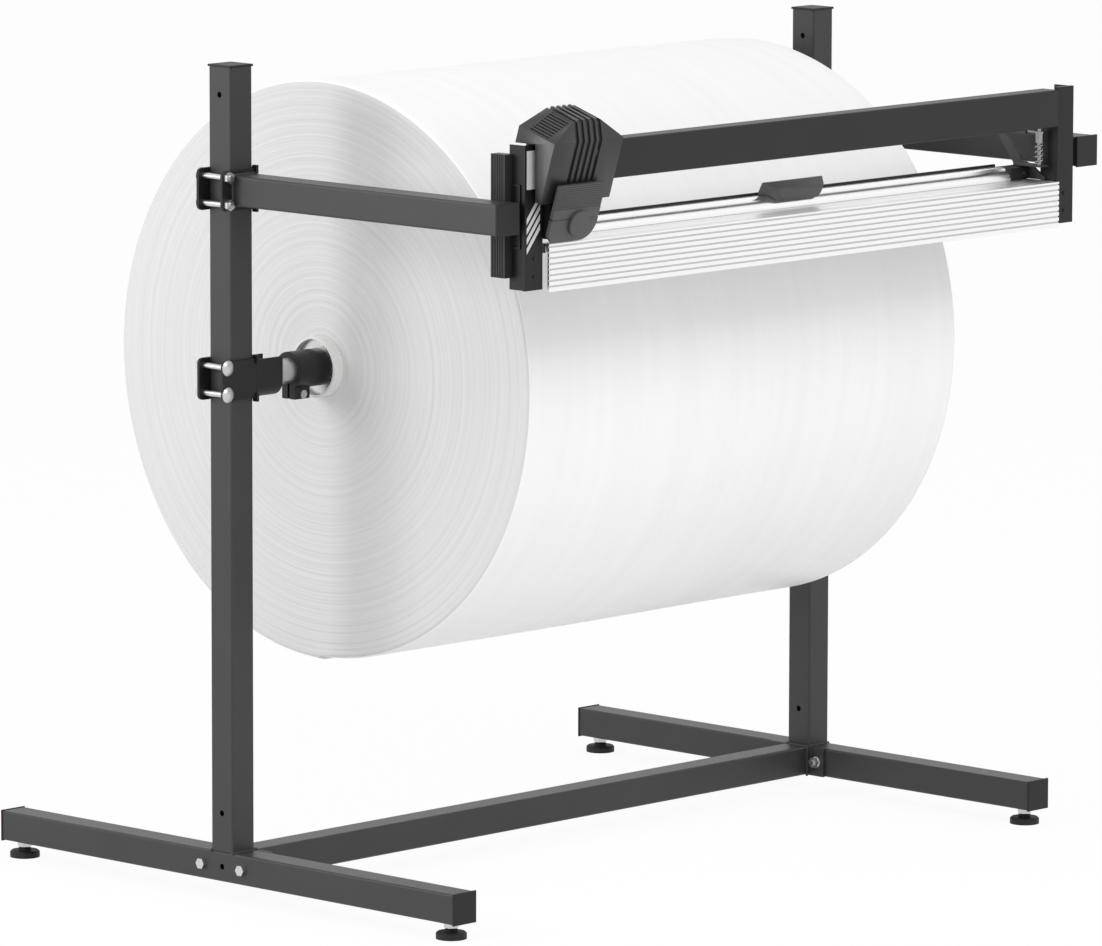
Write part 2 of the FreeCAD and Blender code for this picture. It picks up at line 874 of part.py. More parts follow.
def mount_profile():
    """A ribbed upright profile between the arm and the cutter's side bracket."""
    low, high = arm_height - profile_height / 2, arm_height + profile_height / 2
    back = -profile_front + profile_width
    body = box((bracket_outer_x, inner_face), (-profile_front, back), (low, high))
    pitch = profile_width / (profile_rib_count + 1)
    for index in range(profile_rib_count):
        middle = -profile_front + pitch * (index + 1)
        groove = box(
            (inner_face - profile_rib_depth, inner_face + overrun),
            (middle - pitch / 4, middle + pitch / 4),
            (low - overrun, high + overrun),
        )
        body = body.cut(groove)
    return cut_bracket_holes(body)


def side_bracket():
    """The cutter's end bracket: an upright channel open to the rear, with a rear wing."""
    t = bracket_thickness
    low = bracket_floor_z
    high = low + bracket_height
    inner_high = high - flange_top_drop
    wing_low = arm_height - profile_height / 2
    wing_high = arm_height + profile_height / 2
    outer = box((bracket_outer_x - t, bracket_outer_x), (-bracket_front, -bracket_back), (low, high))
    rear = box(
        (bracket_outer_x - t, bracket_outer_x),
        (-bracket_back, -profile_front + profile_width),
        (wing_low, wing_high),
    )
    web = box((bracket_inner_x, bracket_outer_x), (-bracket_front, -bracket_front + t), (low, high))
    inner = box((bracket_inner_x, bracket_inner_x + t), (-bracket_front, -bracket_back), (low, inner_high))
    wing = box((bracket_inner_x, bracket_inner_x + t), (-bracket_back, -wing_back), (wing_bottom, wing_top))
    top_back = -bracket_front + bracket_top_reach
    top = box((bracket_inner_x, bracket_outer_x), (-bracket_front, top_back), (high - t, high))
    lip = box(
        (bracket_outer_x, bracket_outer_x + bracket_lip_rise),
        (-bracket_front, -bracket_front + bracket_lip_width),
        (low, high),
    )
    body = outer.fuse(rear).fuse(web).fuse(inner).fuse(wing).fuse(top).fuse(lip).fuse(arm_frame())
    ledge = box(
        (bracket_inner_x - ledge_length, bracket_inner_x),
        (-ledge_front, -ledge_back),
        (table_top - table_wall - ledge_thickness, table_top - table_wall),
    )
    drop = box(
        (bracket_inner_x, bracket_inner_x + t),
        (-ledge_front, -ledge_back),
        (table_top - table_wall - ledge_drop, table_top - table_wall),
    )
    plug_play = beam_wall + running_gap
    socket = box(
        (bracket_inner_x - socket_length, bracket_inner_x),
        (-beam_front + plug_play, -beam_back - plug_play),
        (beam_bottom + plug_play, beam_top - plug_play),
    )
    body = body.fuse(ledge).fuse(drop).fuse(socket)
    for index in range(2):
        height = low + low_rivet_rise + index * rivet_pitch
        seat = Vector(channel_mid_x, -bracket_front - rivet_height, height)
        body = body.fuse(rod(rivet_radius, seat, Y_AXIS, rivet_height + t / 2))
    return cut_bracket_holes(body.removeSplitter())


def arm_frame():
    """The raised rectangular frame on the bracket's outer wall, behind the arm's end."""
    low = arm_height - frame_height / 2
    back = -profile_front - frame_width
    sides = (bracket_outer_x - bracket_thickness / 2, bracket_outer_x + frame_rise)
    whole = box(sides, (back, -profile_front), (low, low + frame_height))
    hollow = box(
        (bracket_outer_x, bracket_outer_x + frame_rise + overrun),
        (back + frame_rim, -profile_front - frame_rim),
        (low + frame_rim, low + frame_height - frame_rim),
    )
    return whole.cut(hollow)


def bracket_screw_places():
    """The seats of the heads that hold the side bracket and profile to the arm."""
    middle = -profile_front + profile_width / 2
    seat = bracket_outer_x - bracket_thickness
    return [Vector(seat, middle, arm_height + rise) for rise in (-half_tube / 2, half_tube / 2)]


def cut_bracket_holes(shape):
    """Drill the bracket's screw holes through a piece."""
    length = bracket_thickness + profile_depth + tube_wall + 2 * overrun
    for seat in bracket_screw_places():
        shape = shape.cut(rod(hub_screw_radius + pin_gap, seat - X_AXIS * overrun, X_AXIS, length))
    return shape


def bracket_screws():
    """Screws through the bracket and profile into each arm's inner wall."""
    screws = []
    for seat in bracket_screw_places():
        head = dome(hub_screw_head_radius, hub_screw_head_height, seat, X_AXIS * -1)
        shank = rod(hub_screw_radius, seat, X_AXIS, bracket_thickness + profile_depth + tube_wall + thread_end)
        screw = head.fuse(shank)
        screws.extend([screw, mirrored(screw)])
    return group(screws)


def label_plate():
    """A thin blank plate and slanting stripes on the front of the left bracket."""
    face = -bracket_front - label_thickness
    left = -bracket_outer_x
    heights = (label_bottom, label_bottom + label_height)
    pieces = [box((left, left + label_width), (face, -bracket_front), heights)]
    for index in range(stripe_count):
        low = stripe_bottom + index * stripe_pitch
        corners = [
            Vector(left, face, low),
            Vector(left + stripe_width, face, low + stripe_rise),
            Vector(left + stripe_width, face, low + stripe_rise + stripe_height),
            Vector(left, face, low + stripe_height),
        ]
        pieces.append(face_of(corners).extrude(Y_AXIS * label_thickness))
    return group(pieces)


def guide_beam():
    return square_tube(
        (-bracket_inner_x, bracket_inner_x),
        (-beam_front, -beam_back),
        (beam_bottom, beam_top),
        X_AXIS,
        beam_wall,
        beam_corner,
    )


def table_extrusion():
    """The cutting table: a ribbed front apron, a knife groove and a flat top."""
    length = (-table_half_length, table_half_length)
    apron = box(length, (-table_front, -table_front + table_wall), (table_top - table_front_height, table_top))
    top = box(length, (-table_front, -table_back), (table_top - table_wall, table_top))
    leg = box(length, (-table_back - table_wall, -table_back), (table_top - table_back_leg, table_top))
    trough = box(
        length,
        (-groove_front - groove_wall, -groove_front + groove_width + groove_wall),
        (table_top - groove_depth - groove_wall, table_top),
    )
    body = apron.fuse(top).fuse(leg).fuse(trough)
    past = table_half_length + overrun
    groove = box(
        (-past, past),
        (-groove_front, -groove_front + groove_width),
        (table_top - groove_depth, table_top + overrun),
    )
    body = body.cut(groove)
    for index in range(rib_count):
        middle = table_top - rib_pitch * (index + 0.5)
        line_cut = box(
            (-past, past),
            (-table_front - overrun, -table_front + rib_groove_depth),
            (middle - rib_groove_width / 2, middle + rib_groove_width / 2),
        )
        body = body.cut(line_cut)
    return body.removeSplitter()


# Clamping rail


def rail_section(inset, start):
    """The rail's round-fronted outline, drawn smaller by an inset."""
    low = rail_bottom_z + inset
    high = rail_bottom_z + rail_height - inset
    front = -rail_front + inset
    back = -rail_back - inset
    crown = -rail_crown_back
    nose = Vector(start, front, low + rail_nose_height)
    top = Vector(start, crown, high)
    rise = high - (low + rail_nose_height)
    run = crown - front
    bulge = Vector(start, crown - run * math.cos(math.pi / 4), high - rise * (1 - math.sin(math.pi / 4)))
    corner_front = Vector(start, front, low)
    corner_back = Vector(start, back, low)
    corner_top = Vector(start, back, high)
    edges = [line(corner_back, corner_front), line(corner_front, nose), Part.Arc(nose, bulge, top)]
    edges.extend([line(top, corner_top), line(corner_top, corner_back)])
    return outline_face(edges)


def clamping_rail():
    length = 2 * rail_half_length
    outside = rail_section(0, -rail_half_length).extrude(X_AXIS * length)
    inside = rail_section(rail_wall, -rail_half_length - overrun)
    return outside.cut(inside.extrude(X_AXIS * (length + 2 * overrun)))


def rail_edge_strip():
    """The dark strip along the rail's rear edge."""
    low = rail_bottom_z + rail_wall
    high = rail_bottom_z + rail_height + strip_rise
    back = -rail_back + strip_thickness
    return box((-rail_half_length, rail_half_length), (-rail_back, back), (low, high))


def rail_end_blocks():
    """The blocks that join the rail's ends to the carriers, each with its screw head."""
    low = rail_bottom_z
    block = rounded_box(
        (rail_half_length, carrier_inner_x),
        (-rail_front, -rail_back),
        (low, low + end_block_height),
        X_AXIS,
        rail_nose_height,
    )
    mid_height = low + end_block_height / 2
    head = Vector(carrier_inner_x - rail_screw_inset, -rail_front, mid_height)
    block = block.fuse(dome(rail_screw_radius, rail_screw_height, head, Y_AXIS * -1))
    return group([block, mirrored(block)])


def rail_carrier(sprung):
    """A slim slanting lifting plate at one end of the rail; the sprung one has a foot."""
    x = carrier_inner_x
    plate_low = guide_pin_low - rail_travel - guide_pin_head_radius
    back_high = carrier_back_high if sprung else carrier_back_top
    outline = [
        (-carrier_tip, rail_bottom_z),
        (-carrier_back_low, rail_bottom_z),
        (-carrier_back_low, carrier_knee_height),
        (-back_high, carrier_back_high_height),
        (-carrier_back_top, carrier_top),
        (-carrier_front, carrier_top),
        (-carrier_front, plate_low),
    ]
    if sprung:
        outline.append((-carrier_strut_front, plate_low))
    outline.append((-carrier_knee_front, carrier_knee_front_height))
    outline.append((-carrier_toe, carrier_knee_height))
    outline.append((-carrier_tip, carrier_tip_height))
    points = [Vector(x, y, z) for y, z in outline]
    plate = face_of(points).extrude(X_AXIS * carrier_thickness)
    foot = box(
        (spring_x - spring_reach, carrier_outer_x),
        (-spring_centre_front - spring_reach, -carrier_knee_front),
        (foot_top - foot_thickness, foot_top),
    )
    foot_low = spring_place(foot_top - foot_thickness - overrun)
    hole = rod(spring_stem_radius + running_gap, foot_low, Z_AXIS, foot_thickness + 2 * overrun)
    bore = guide_pin_radius + running_gap
    slot_low = guide_pin_low - rail_travel
    slot_high = guide_pin_low + guide_pin_pitch
    slot = box(
        (x - overrun, carrier_outer_x + overrun),
        (-guide_pin_front - bore, -guide_pin_front + bore),
        (slot_low, slot_high),
    )
    for end in (slot_low, slot_high):
        start = Vector(x - overrun, -guide_pin_front, end)
        slot = slot.fuse(rod(bore, start, X_AXIS, carrier_thickness + 2 * overrun))
    body = plate.fuse(foot).cut(hole) if sprung else plate
    return body.cut(slot).removeSplitter()


def spring_place(height):
    return Vector(spring_x, -spring_centre_front, height)


def guide_pins():
    """Shoulder screws for the carriers on the wings, and the spring's stem under the beam."""
    pins = []
    for height in (guide_pin_low, guide_pin_low + guide_pin_pitch):
        start = Vector(bracket_inner_x, -guide_pin_front, height)
        reach = bracket_inner_x - carrier_inner_x + running_gap
        shank = rod(guide_pin_radius, start, X_AXIS * -1, reach)
        head = rod(guide_pin_head_radius, start - X_AXIS * reach, X_AXIS * -1, guide_pin_head_height)
        pin = shank.fuse(head)
        pins.extend([pin, mirrored(pin)])
    low = foot_top - foot_thickness
    stem = rod(spring_stem_radius, spring_place(low), Z_AXIS, beam_bottom - low)
    collar = rod(spring_collar_radius, spring_place(spring_top), Z_AXIS, spring_collar_height)
    washer_place = spring_place(spring_top + spring_collar_height)
    washer = rod(spring_washer_radius, washer_place, Z_AXIS, spring_washer_thickness)
    pins.append(stem.fuse(collar).fuse(washer))
    return group(pins)


def arc_by_tangent(start, tangent, end):
    """The circular arc that leaves a point along a tangent and ends at another point."""
    chord = end - start
    along = Vector(chord).normalize()
    aside = (tangent - along * tangent.dot(along)).normalize()
    angle = tangent.getAngle(chord)
    middle = start + chord * 0.5 + aside * (chord.Length / 2 * math.tan(angle / 2))
    return Part.Arc(start, middle, end)


def coil_point(radius, low, pitch, turn):
    angle = 2 * math.pi * turn
    return Vector(radius * math.cos(angle), radius * math.sin(angle), low + pitch * turn)


def coil_tangent(radius, pitch, turn):
    angle = 2 * math.pi * turn
    speed = 2 * math.pi * radius
    return Vector(-speed * math.sin(angle), speed * math.cos(angle), pitch).normalize()


def rail_spring():
    """A compression spring: one round wire along a helix of quarter-turn arc pairs."""
    low = foot_top + spring_wire + running_gap
    high = spring_top - spring_wire - running_gap
    pitch = (high - low) / spring_turns
    steps = 4 * spring_turns
    edges = []
    for index in range(steps):
        turn = index / 4
        start = coil_point(spring_radius, low, pitch, turn)
        end = coil_point(spring_radius, low, pitch, turn + 0.25)
        leave = coil_tangent(spring_radius, pitch, turn)
        arrive = coil_tangent(spring_radius, pitch, turn + 0.25)
        span = end - start
        both = leave + arrive
        bend = 1 - leave.dot(arrive)
        along = span.dot(both)
        reach = (math.sqrt(along**2 + 2 * bend * span.dot(span)) - along) / (2 * bend)
        joint = (start + leave * reach + end - arrive * reach) * 0.5
        turn_joint = (joint - start - leave * reach).normalize()
        edges.append(arc_by_tangent(start, leave, joint))
        edges.append(arc_by_tangent(joint, turn_joint, end))
    path = Part.Wire([edge.toShape() for edge in edges])
    section = Part.Circle(
        coil_point(spring_radius, low, pitch, 0), coil_tangent(spring_radius, pitch, 0), spring_wire
    )
    wire = path.makePipeShell([Part.Wire(section.toShape())], True, False)
    wire.translate(spring_place(0))
    print_coil_gap(low, pitch)
    return wire


def print_coil_gap(low, pitch):
    """Measure the least gap between neighbouring turns on points along the wire."""
    per_turn = 72
    count = spring_turns * per_turn
    points = [coil_point(spring_radius, low, pitch, index / per_turn) for index in range(count)]
    least = min(
        points[first].distanceToPoint(points[second])
        for first in range(0, len(points), 6)
        for second in range(first + per_turn // 2, len(points))
    )
    print("spring: least gap to itself %.2f mm" % (least - 2 * spring_wire))


def rail_handle():
    """The finger grip on the rail: a lip with a rounded front and slanting ends."""
    x = handle_centre - handle_top_width
    low = rail_bottom_z + rail_wall
    top_back = Vector(x, -handle_top_front + handle_lip, handle_top)
    top_front = Vector(x, -handle_top_front, handle_top)
    crest = Vector(x, -handle_crest_front, handle_crest)
    bulge = Vector(x, -handle_bulge_front, handle_bulge)
    low_front = Vector(x, -handle_low_front, handle_low)
    inside_front = Vector(x, -handle_back, handle_low)
    inside_back = Vector(x, -handle_back, handle_rear)
    edges = [line(top_back, top_front), line(top_front, crest), Part.Arc(crest, bulge, low_front)]
    edges.extend([line(low_front, inside_front), line(inside_front, inside_back), line(inside_back, top_back)])
    body = outline_face(edges).extrude(X_AXIS * (2 * handle_top_width))
    body = body.cut(rail_section(-pin_gap, x - overrun).extrude(X_AXIS * (2 * (handle_top_width + overrun))))
    for side in (-1, 1):
        top = Vector(handle_centre + side * handle_top_width / 2, -handle_top_front, handle_top)
        bottom = Vector(handle_centre + side * handle_low_width / 2, -handle_low_front, handle_low)
        rear = Vector(handle_centre + side * handle_rear_width / 2, -handle_back, handle_rear)
        body = body.cut(slanted_block(top, bottom, rear, X_AXIS * (side * handle_top_width)))
    return body


def slanted_block(first, second, third, reach):
    """A block with one face in the plane of three points, wide enough to trim an end."""
    across = (second - first) * 3
    along = (third - first) * 3
    middle = (first + second + third) * (1 / 3)
    corners = [middle - across - along, middle + across - along]
    corners.extend([middle + across + along, middle - across + along])
    return face_of(corners).extrude(reach)


# Cutter head, in its leaning frame


def head_block(inset):
    """The head's outer form, drawn smaller by an inset on every side but its bottom."""
    half = head_width / 2 - inset
    ridge = head_ridge_width / 2 - inset / 2
    top = head_ridge_rise - inset
    front = inset
    back = head_depth - inset
    profile = [
        Vector(-half, front, -head_drop),
        Vector(-half, front, -inset / 2),
        Vector(-ridge, front, top),
        Vector(ridge, front, top),
        Vector(half, front, -inset / 2),
        Vector(half, front, -head_drop),
    ]
    block = face_of(profile).extrude(Y_AXIS * (back - front))
    reach = head_width / 2 + overrun
    front_wedge = face_of(
        [
            Vector(-reach, front - overrun, -inset / 2),
            Vector(-reach, front, -inset / 2),
            Vector(-reach, head_front_chamfer + inset / 2, top),
            Vector(-reach, head_front_chamfer + inset / 2, top + overrun),
            Vector(-reach, front - overrun, top + overrun),
        ]
    ).extrude(X_AXIS * (2 * reach))
    back_wedge = face_of(
        [
            Vector(-reach, back + overrun, -inset / 2),
            Vector(-reach, back, -inset / 2),
            Vector(-reach, back - head_back_chamfer, top),
            Vector(-reach, back - head_back_chamfer, top + overrun),
            Vector(-reach, back + overrun, top + overrun),
        ]
    ).extrude(X_AXIS * (2 * reach))
    return block.cut(front_wedge).cut(back_wedge)


def head_flutes():
    """Deep flutes that run over the ridge and down the front."""
    skin = head_block(0).cut(head_block(flute_depth))
    slabs = []
    for index in range(flute_count):
        middle = (index - (flute_count - 1) / 2) * flute_pitch
        slabs.append(
            box(
                (middle - flute_width / 2, middle + flute_width / 2),
                (-overrun, head_depth + overrun),
                (-flute_bottom, head_ridge_rise + overrun),
            )
        )
    return skin.common(group(slabs))


def head_fine_ribs():
    """Fine level grooves across the two sloping sides."""
    skin = head_block(0).cut(head_block(fine_rib_depth))
    pitch = head_ridge_rise / (fine_rib_count + 1)
    reach = head_width / 2 + overrun
    slabs = []
    for index in range(fine_rib_count):
        low = pitch * (index + 0.7)
        for side in (-1, 1):
            near = side * (head_ridge_width / 2 + flute_depth)
            slabs.append(
                box((near, side * reach), (fine_rib_front, fine_rib_back), (low, low + pitch * fine_rib_share))
            )
    return skin.common(group(slabs))


def button_post_places():
    middle = (panel_left + panel_right) / 2
    return [Vector(middle + side * button_post_offset, 0, button_post_rise) for side in (-1, 1)]


def head_cover():
    """The moulded cover: a fluted, sloping-sided shell over the beam and the carriage."""
    shell = head_block(0).cut(head_flutes()).cut(head_fine_ribs())
    hollow = head_block(head_wall)
    shell = shell.cut(hollow)
    for side in (-1, 1):
        start = Vector(side * boss_offset, head_wall / 2, boss_rise)
        boss = rod(boss_radius, start, Y_AXIS, head_depth - head_wall)
        shell = shell.fuse(boss)
    for place in button_post_places():
        start = place - Y_AXIS * overrun
        bore = button_post_radius + running_gap
        shell = shell.cut(rod(bore, start, Y_AXIS, head_wall + 2 * overrun))
    shell = in_head(shell)
    clearing = box(
        (head_start - head_width, head_start + head_width),
        (-head_back_plane, 0),
        (0, beam_top + carriage_play + carriage_wall),
    )
    return shell.cut(clearing)


def head_carriage():
    """The inverted U that rides on the beam, with the knife block under it."""
    x_range = (head_start + carriage_left, head_start + carriage_right)
    front_gap = -beam_front - carriage_play
    back_gap = -beam_back + carriage_play
    roof = beam_top + carriage_play
    front = box(x_range, (-head_back_plane, front_gap), (core_bottom, roof + carriage_wall))
    top = box(x_range, (-head_back_plane, back_gap + carriage_wall), (roof, roof + carriage_wall))
    rear = box(x_range, (back_gap, back_gap + carriage_wall), (beam_bottom, roof + carriage_wall))
    knife_block = box(x_range, (-head_back_plane, -core_back), (core_bottom, beam_bottom - core_top_gap))
    body = front.fuse(top).fuse(rear).fuse(knife_block)
    slot_half = holder_width / 2 + holder_slot_gap
    depth_half = holder_depth / 2 + holder_slot_gap
    slot = box(
        (head_start - slot_half, head_start + slot_half),
        (-groove_centre - depth_half, -groove_centre + depth_half),
        (core_bottom - overrun, holder_bottom + holder_height + running_gap),
    )
    return body.cut(slot).removeSplitter()


def glide_pads():
    """Slippery pads between the carriage and the beam's front, top and rear faces."""
    pads = []
    pad = carriage_play - running_gap
    for end in (carriage_left + pad_inset_x, carriage_right - pad_inset_x - pad_length):
        x_range = (head_start + end, head_start + end + pad_length)
        roof = beam_top + carriage_play
        pads.append(box(x_range, (-beam_front, -beam_back), (roof - pad, roof)))
        front_face = -beam_front - carriage_play
        height = (beam_bottom + beam_wall, beam_top - beam_wall)
        pads.append(box(x_range, (front_face, front_face + pad), height))
        rear_face = -beam_back + carriage_play
        pads.append(box(x_range, (rear_face - pad, rear_face), height))
    return group(pads)


def blade_holder():
    """The sliding block that grips the blade."""
    x_range = (head_start - holder_width / 2, head_start + holder_width / 2)
    y_range = (-groove_centre - holder_depth / 2, -groove_centre + holder_depth / 2)
    block = box(x_range, y_range, (holder_bottom, holder_bottom + holder_height - blade_travel))
    kerf = box(
        (head_start - blade_width / 2, head_start + blade_width / 2),
        (-groove_centre - blade_thickness / 2, -groove_centre + blade_thickness / 2),
        (holder_bottom - overrun, blade_top),
    )
    return block.cut(kerf)


def cutting_blade():
    """A trapezoid blade that lies across the knife groove."""
    back = -groove_centre - blade_thickness / 2
    half = blade_width / 2
    points = [
        Vector(head_start - half, back, blade_top),
        Vector(head_start + half, back, blade_top),
        Vector(head_start + half, back, blade_bottom + blade_slope),
        Vector(head_start, back, blade_bottom),
        Vector(head_start - half, back, blade_bottom + blade_slope),
    ]
    return face_of(points).extrude(Y_AXIS * blade_thickness)


def head_button():
    """The ribbed press button, with the two posts that guide it in the cover."""
    face = -panel_gap - panel_thickness
    panel = rounded_box(
        (panel_left, panel_right), (face, -panel_gap), (button_bottom, button_top), Y_AXIS, panel_corner
    )
    pitch = (button_top - knob_rise - knob_radius) / (button_rib_count + 1)
    for index in range(button_rib_count):
        low = button_top - pitch * (index + 1)
        groove = box(
            (panel_left - overrun, panel_right + overrun),
            (face - overrun, face + button_rib_depth),
            (low, low + pitch * button_rib_share),
        )
        panel = panel.cut(groove)
    for place in button_post_places():
        start = place - Y_AXIS * panel_gap
        panel = panel.fuse(rod(button_post_radius, start, Y_AXIS, panel_gap + button_post_reach))
    return in_head(panel)


def blade_cover():
    """The plain lower cover under the button, with the legs that hold it to the carriage."""
    face = -panel_gap - panel_thickness
    high = button_bottom - seam_gap
    corner_start = Vector(panel_right, face, cover_bottom + cover_round)
    corner_middle = Vector(
        panel_right - cover_round * (1 - math.cos(math.pi / 4)),
        face,
        cover_bottom + cover_round * (1 - math.sin(math.pi / 4)),
    )
    corner_end = Vector(panel_right - cover_round, face, cover_bottom)
    edges = [
        line(Vector(panel_left, face, high), Vector(panel_right, face, high)),
        line(Vector(panel_right, face, high), corner_start),
        Part.Arc(corner_start, corner_middle, corner_end),
        line(corner_end, Vector(panel_left + cover_chamfer, face, cover_bottom)),
        line(
            Vector(panel_left + cover_chamfer, face, cover_bottom),
            Vector(panel_left, face, cover_bottom + cover_chamfer),
        ),
        line(Vector(panel_left, face, cover_bottom + cover_chamfer), Vector(panel_left, face, high)),
    ]
    panel = outline_face(edges).extrude(Y_AXIS * panel_thickness)
    leg = box(
        (knob_centre - cover_leg_width / 2, knob_centre + cover_leg_width / 2),
        (-panel_gap, head_depth),
        (cover_bottom + cover_chamfer, high),
    )
    panel = panel.fuse(leg)
    start = Vector(knob_centre, face - overrun, knob_rise)
    bore_length = panel_thickness + knob_pin_length
    panel = panel.cut(rod(knob_pin_radius + pin_gap, start, Y_AXIS, bore_length + overrun))
    panel = in_head(panel)
    span = (head_start - head_width, head_start + head_width)
    behind = box(span, (-head_back_plane, head_back_plane), (0, head_shoulder_height))
    return panel.cut(behind)


def blade_lock_knob():
    """The round lock knob over the seam between the button and the lower cover."""
    face = -panel_gap - panel_thickness - bolt_gap
    start = Vector(knob_centre, face, knob_rise)
    disc = rod(knob_radius, start, Y_AXIS * -1, knob_thickness)
    front = [edge for edge in disc.Edges if edge.CenterOfMass.y < face - knob_thickness / 2]
    disc = disc.makeFillet(knob_edge, [edge for edge in front if isinstance(edge.Curve, Part.Circle)])
    pin = rod(knob_pin_radius, start, Y_AXIS, knob_pin_length)
    return in_head(disc.fuse(pin))


def save(name, shape):
    """Move one sub-part over the footprint's middle and write it, if its solids are sound."""
    if not shape.isValid() or not shape.Solids:
        raise ValueError("unsound shape: " + name)
    shape = shape.translated(FOOTPRINT_SHIFT)
    shape.exportStep("parts/" + name + ".step")
    print(name, len(shape.Solids), "%.1f cm3" % (shape.Volume / 1000))


def build_stand():
    save("foot_tube_left", foot_tube(-post_x))
    save("foot_tube_right", foot_tube(post_x))
    save("post_left", post(-post_x))
    save("post_right", post(post_x))
    save("post_caps", post_caps())
    save("foot_end_caps", foot_end_caps())
    save("cross_beam", cross_beam())
    save("cross_beam_end_plates", cross_beam_end_plates())
    bolts, nuts = frame_fasteners()
    save("frame_bolts", bolts)
    save("frame_nuts", nuts)
    for depth, end in (("front", -1), ("rear", 1)):
        for hand, side in (("left", -1), ("right", 1)):
            save("levelling_foot_" + depth + "_" + hand, levelling_foot(side, end))
    save("levelling_jam_nuts", levelling_jam_nuts())


def build_axle_carriers():
    bracket = saddle_bracket()
    save("saddle_bracket_right", bracket)
    save("saddle_bracket_left", mirrored(bracket))
    plate = clamp_plate(axle_height)
    save("saddle_plates", group([plate, mirrored(plate)]))
    bearing = bearing_pad()
    save("axle_bearing_pads", group([bearing, mirrored(bearing)]))
    bolts, nuts = clamp_fasteners(axle_height, True)
    save("saddle_bolts", bolts)
    save("saddle_nuts", nuts)


def build_roll():
    save("axle_tube", ring(axle_radius, axle_radius - axle_wall, -axle_half_length, 2 * axle_half_length))
    save("hub_left", hub(core_left_end, -1))
    save("hub_right", hub(core_right_end, 1))
    save("hub_cones", hub_cones())
    save("hub_screws", hub_screws())
    core_length = core_left_end + core_right_end
    save("roll_core", ring(core_radius, core_radius - core_wall, -core_left_end, core_length))
    save("wrap_roll", wrap_roll())


def build_arms():
    bracket = clamp_bracket(arm_height)
    save("arm_clamp_bracket_right", bracket)
    save("arm_clamp_bracket_left", mirrored(bracket))
    plate = clamp_plate(arm_height)
    save("arm_clamp_plates", group([plate, mirrored(plate)]))
    bolts, nuts = clamp_fasteners(arm_height, False)
    save("arm_clamp_bolts", bolts)
    save("arm_clamp_nuts", nuts)
    save("arm_right", arm())
    save("arm_left", mirrored(arm()))
    save("arm_end_caps", arm_end_caps())


def build_cutter_frame():
    profile = mount_profile()
    save("side_mount_profiles", group([profile, mirrored(profile)]))
    bracket = side_bracket()
    save("side_bracket_right", bracket)
    save("side_bracket_left", mirrored(bracket))
    save("bracket_screws", bracket_screws())
    save("label_plate", label_plate())
    save("guide_beam", guide_beam())
    save("table_extrusion", table_extrusion())


def build_rail():
    save("clamping_rail", clamping_rail())
    save("rail_edge_strip", rail_edge_strip())
    save("rail_handle", rail_handle())
    save("rail_end_blocks", rail_end_blocks())
    save("rail_carrier_right", rail_carrier(True))
    save("rail_carrier_left", mirrored(rail_carrier(False)))
    save("guide_pins", guide_pins())
    save("rail_spring", rail_spring())


def build_head():
    save("head_cover", head_cover())
    save("head_carriage", head_carriage())
    save("glide_pads", glide_pads())
    save("blade_holder", blade_holder())
    save("cutting_blade", cutting_blade())
    save("head_button", head_button())
    save("blade_cover", blade_cover())
    save("blade_lock_knob", blade_lock_knob())


build_stand()
build_axle_carriers()
build_roll()
build_arms()
build_cutter_frame()
build_rail()
build_head()
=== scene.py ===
import json
import math

import bmesh
import bpy
from bpy.props import FloatProperty, FloatVectorProperty, IntProperty, PointerProperty
from mathutils import Matrix, Vector


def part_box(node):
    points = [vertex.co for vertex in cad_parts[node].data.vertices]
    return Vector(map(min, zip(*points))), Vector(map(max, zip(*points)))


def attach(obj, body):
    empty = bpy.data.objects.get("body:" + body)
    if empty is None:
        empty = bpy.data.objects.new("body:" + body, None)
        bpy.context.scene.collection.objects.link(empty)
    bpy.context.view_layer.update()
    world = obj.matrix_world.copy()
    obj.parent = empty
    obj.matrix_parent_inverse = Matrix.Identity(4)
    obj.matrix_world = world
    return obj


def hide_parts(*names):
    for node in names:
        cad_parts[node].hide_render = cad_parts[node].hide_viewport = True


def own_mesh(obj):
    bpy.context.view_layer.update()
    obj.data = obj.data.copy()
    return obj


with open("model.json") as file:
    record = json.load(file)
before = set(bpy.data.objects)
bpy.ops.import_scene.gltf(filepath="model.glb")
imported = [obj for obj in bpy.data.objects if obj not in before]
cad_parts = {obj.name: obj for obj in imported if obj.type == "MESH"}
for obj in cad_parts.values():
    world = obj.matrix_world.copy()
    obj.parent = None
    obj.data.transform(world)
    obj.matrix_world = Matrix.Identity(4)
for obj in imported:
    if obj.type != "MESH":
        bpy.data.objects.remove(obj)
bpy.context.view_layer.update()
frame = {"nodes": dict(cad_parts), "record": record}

bl_info = {
    "name": "Wrap roll stand",
    "version": (1, 0, 0),
    "blender": (4, 5, 0),
    "location": "3D Viewport > Sidebar > Roll stand",
    "description": "Dresses the roll stand, its wound wrap and its sliding cutter",
    "category": "Object",
}

NODES = frame["nodes"]
BODIES = frame["record"]["behaviour"]["bodies"]
BODY_OF = {node: body for body, nodes in BODIES.items() for node in nodes}

ALONG_X = (0.02, 1.0, 1.0)
MERGE_GAP = 1e-6
NODE_MERGE_GAP = 2e-6


def length(name, description, default):
    return FloatProperty(
        name=name, description=description, default=default, min=0.0, subtype="DISTANCE", unit="LENGTH"
    )


def colour(name, description, default):
    return FloatVectorProperty(
        name=name, description=description, default=default, min=0.0, max=1.0, size=3, subtype="COLOR"
    )


def turn(name, description, degrees):
    return FloatProperty(
        name=name,
        description=description,
        default=math.radians(degrees),
        subtype="ANGLE",
        unit="ROTATION",
    )


def power(name, description, default):
    return FloatProperty(name=name, description=description, default=default, min=0.0, unit="POWER")


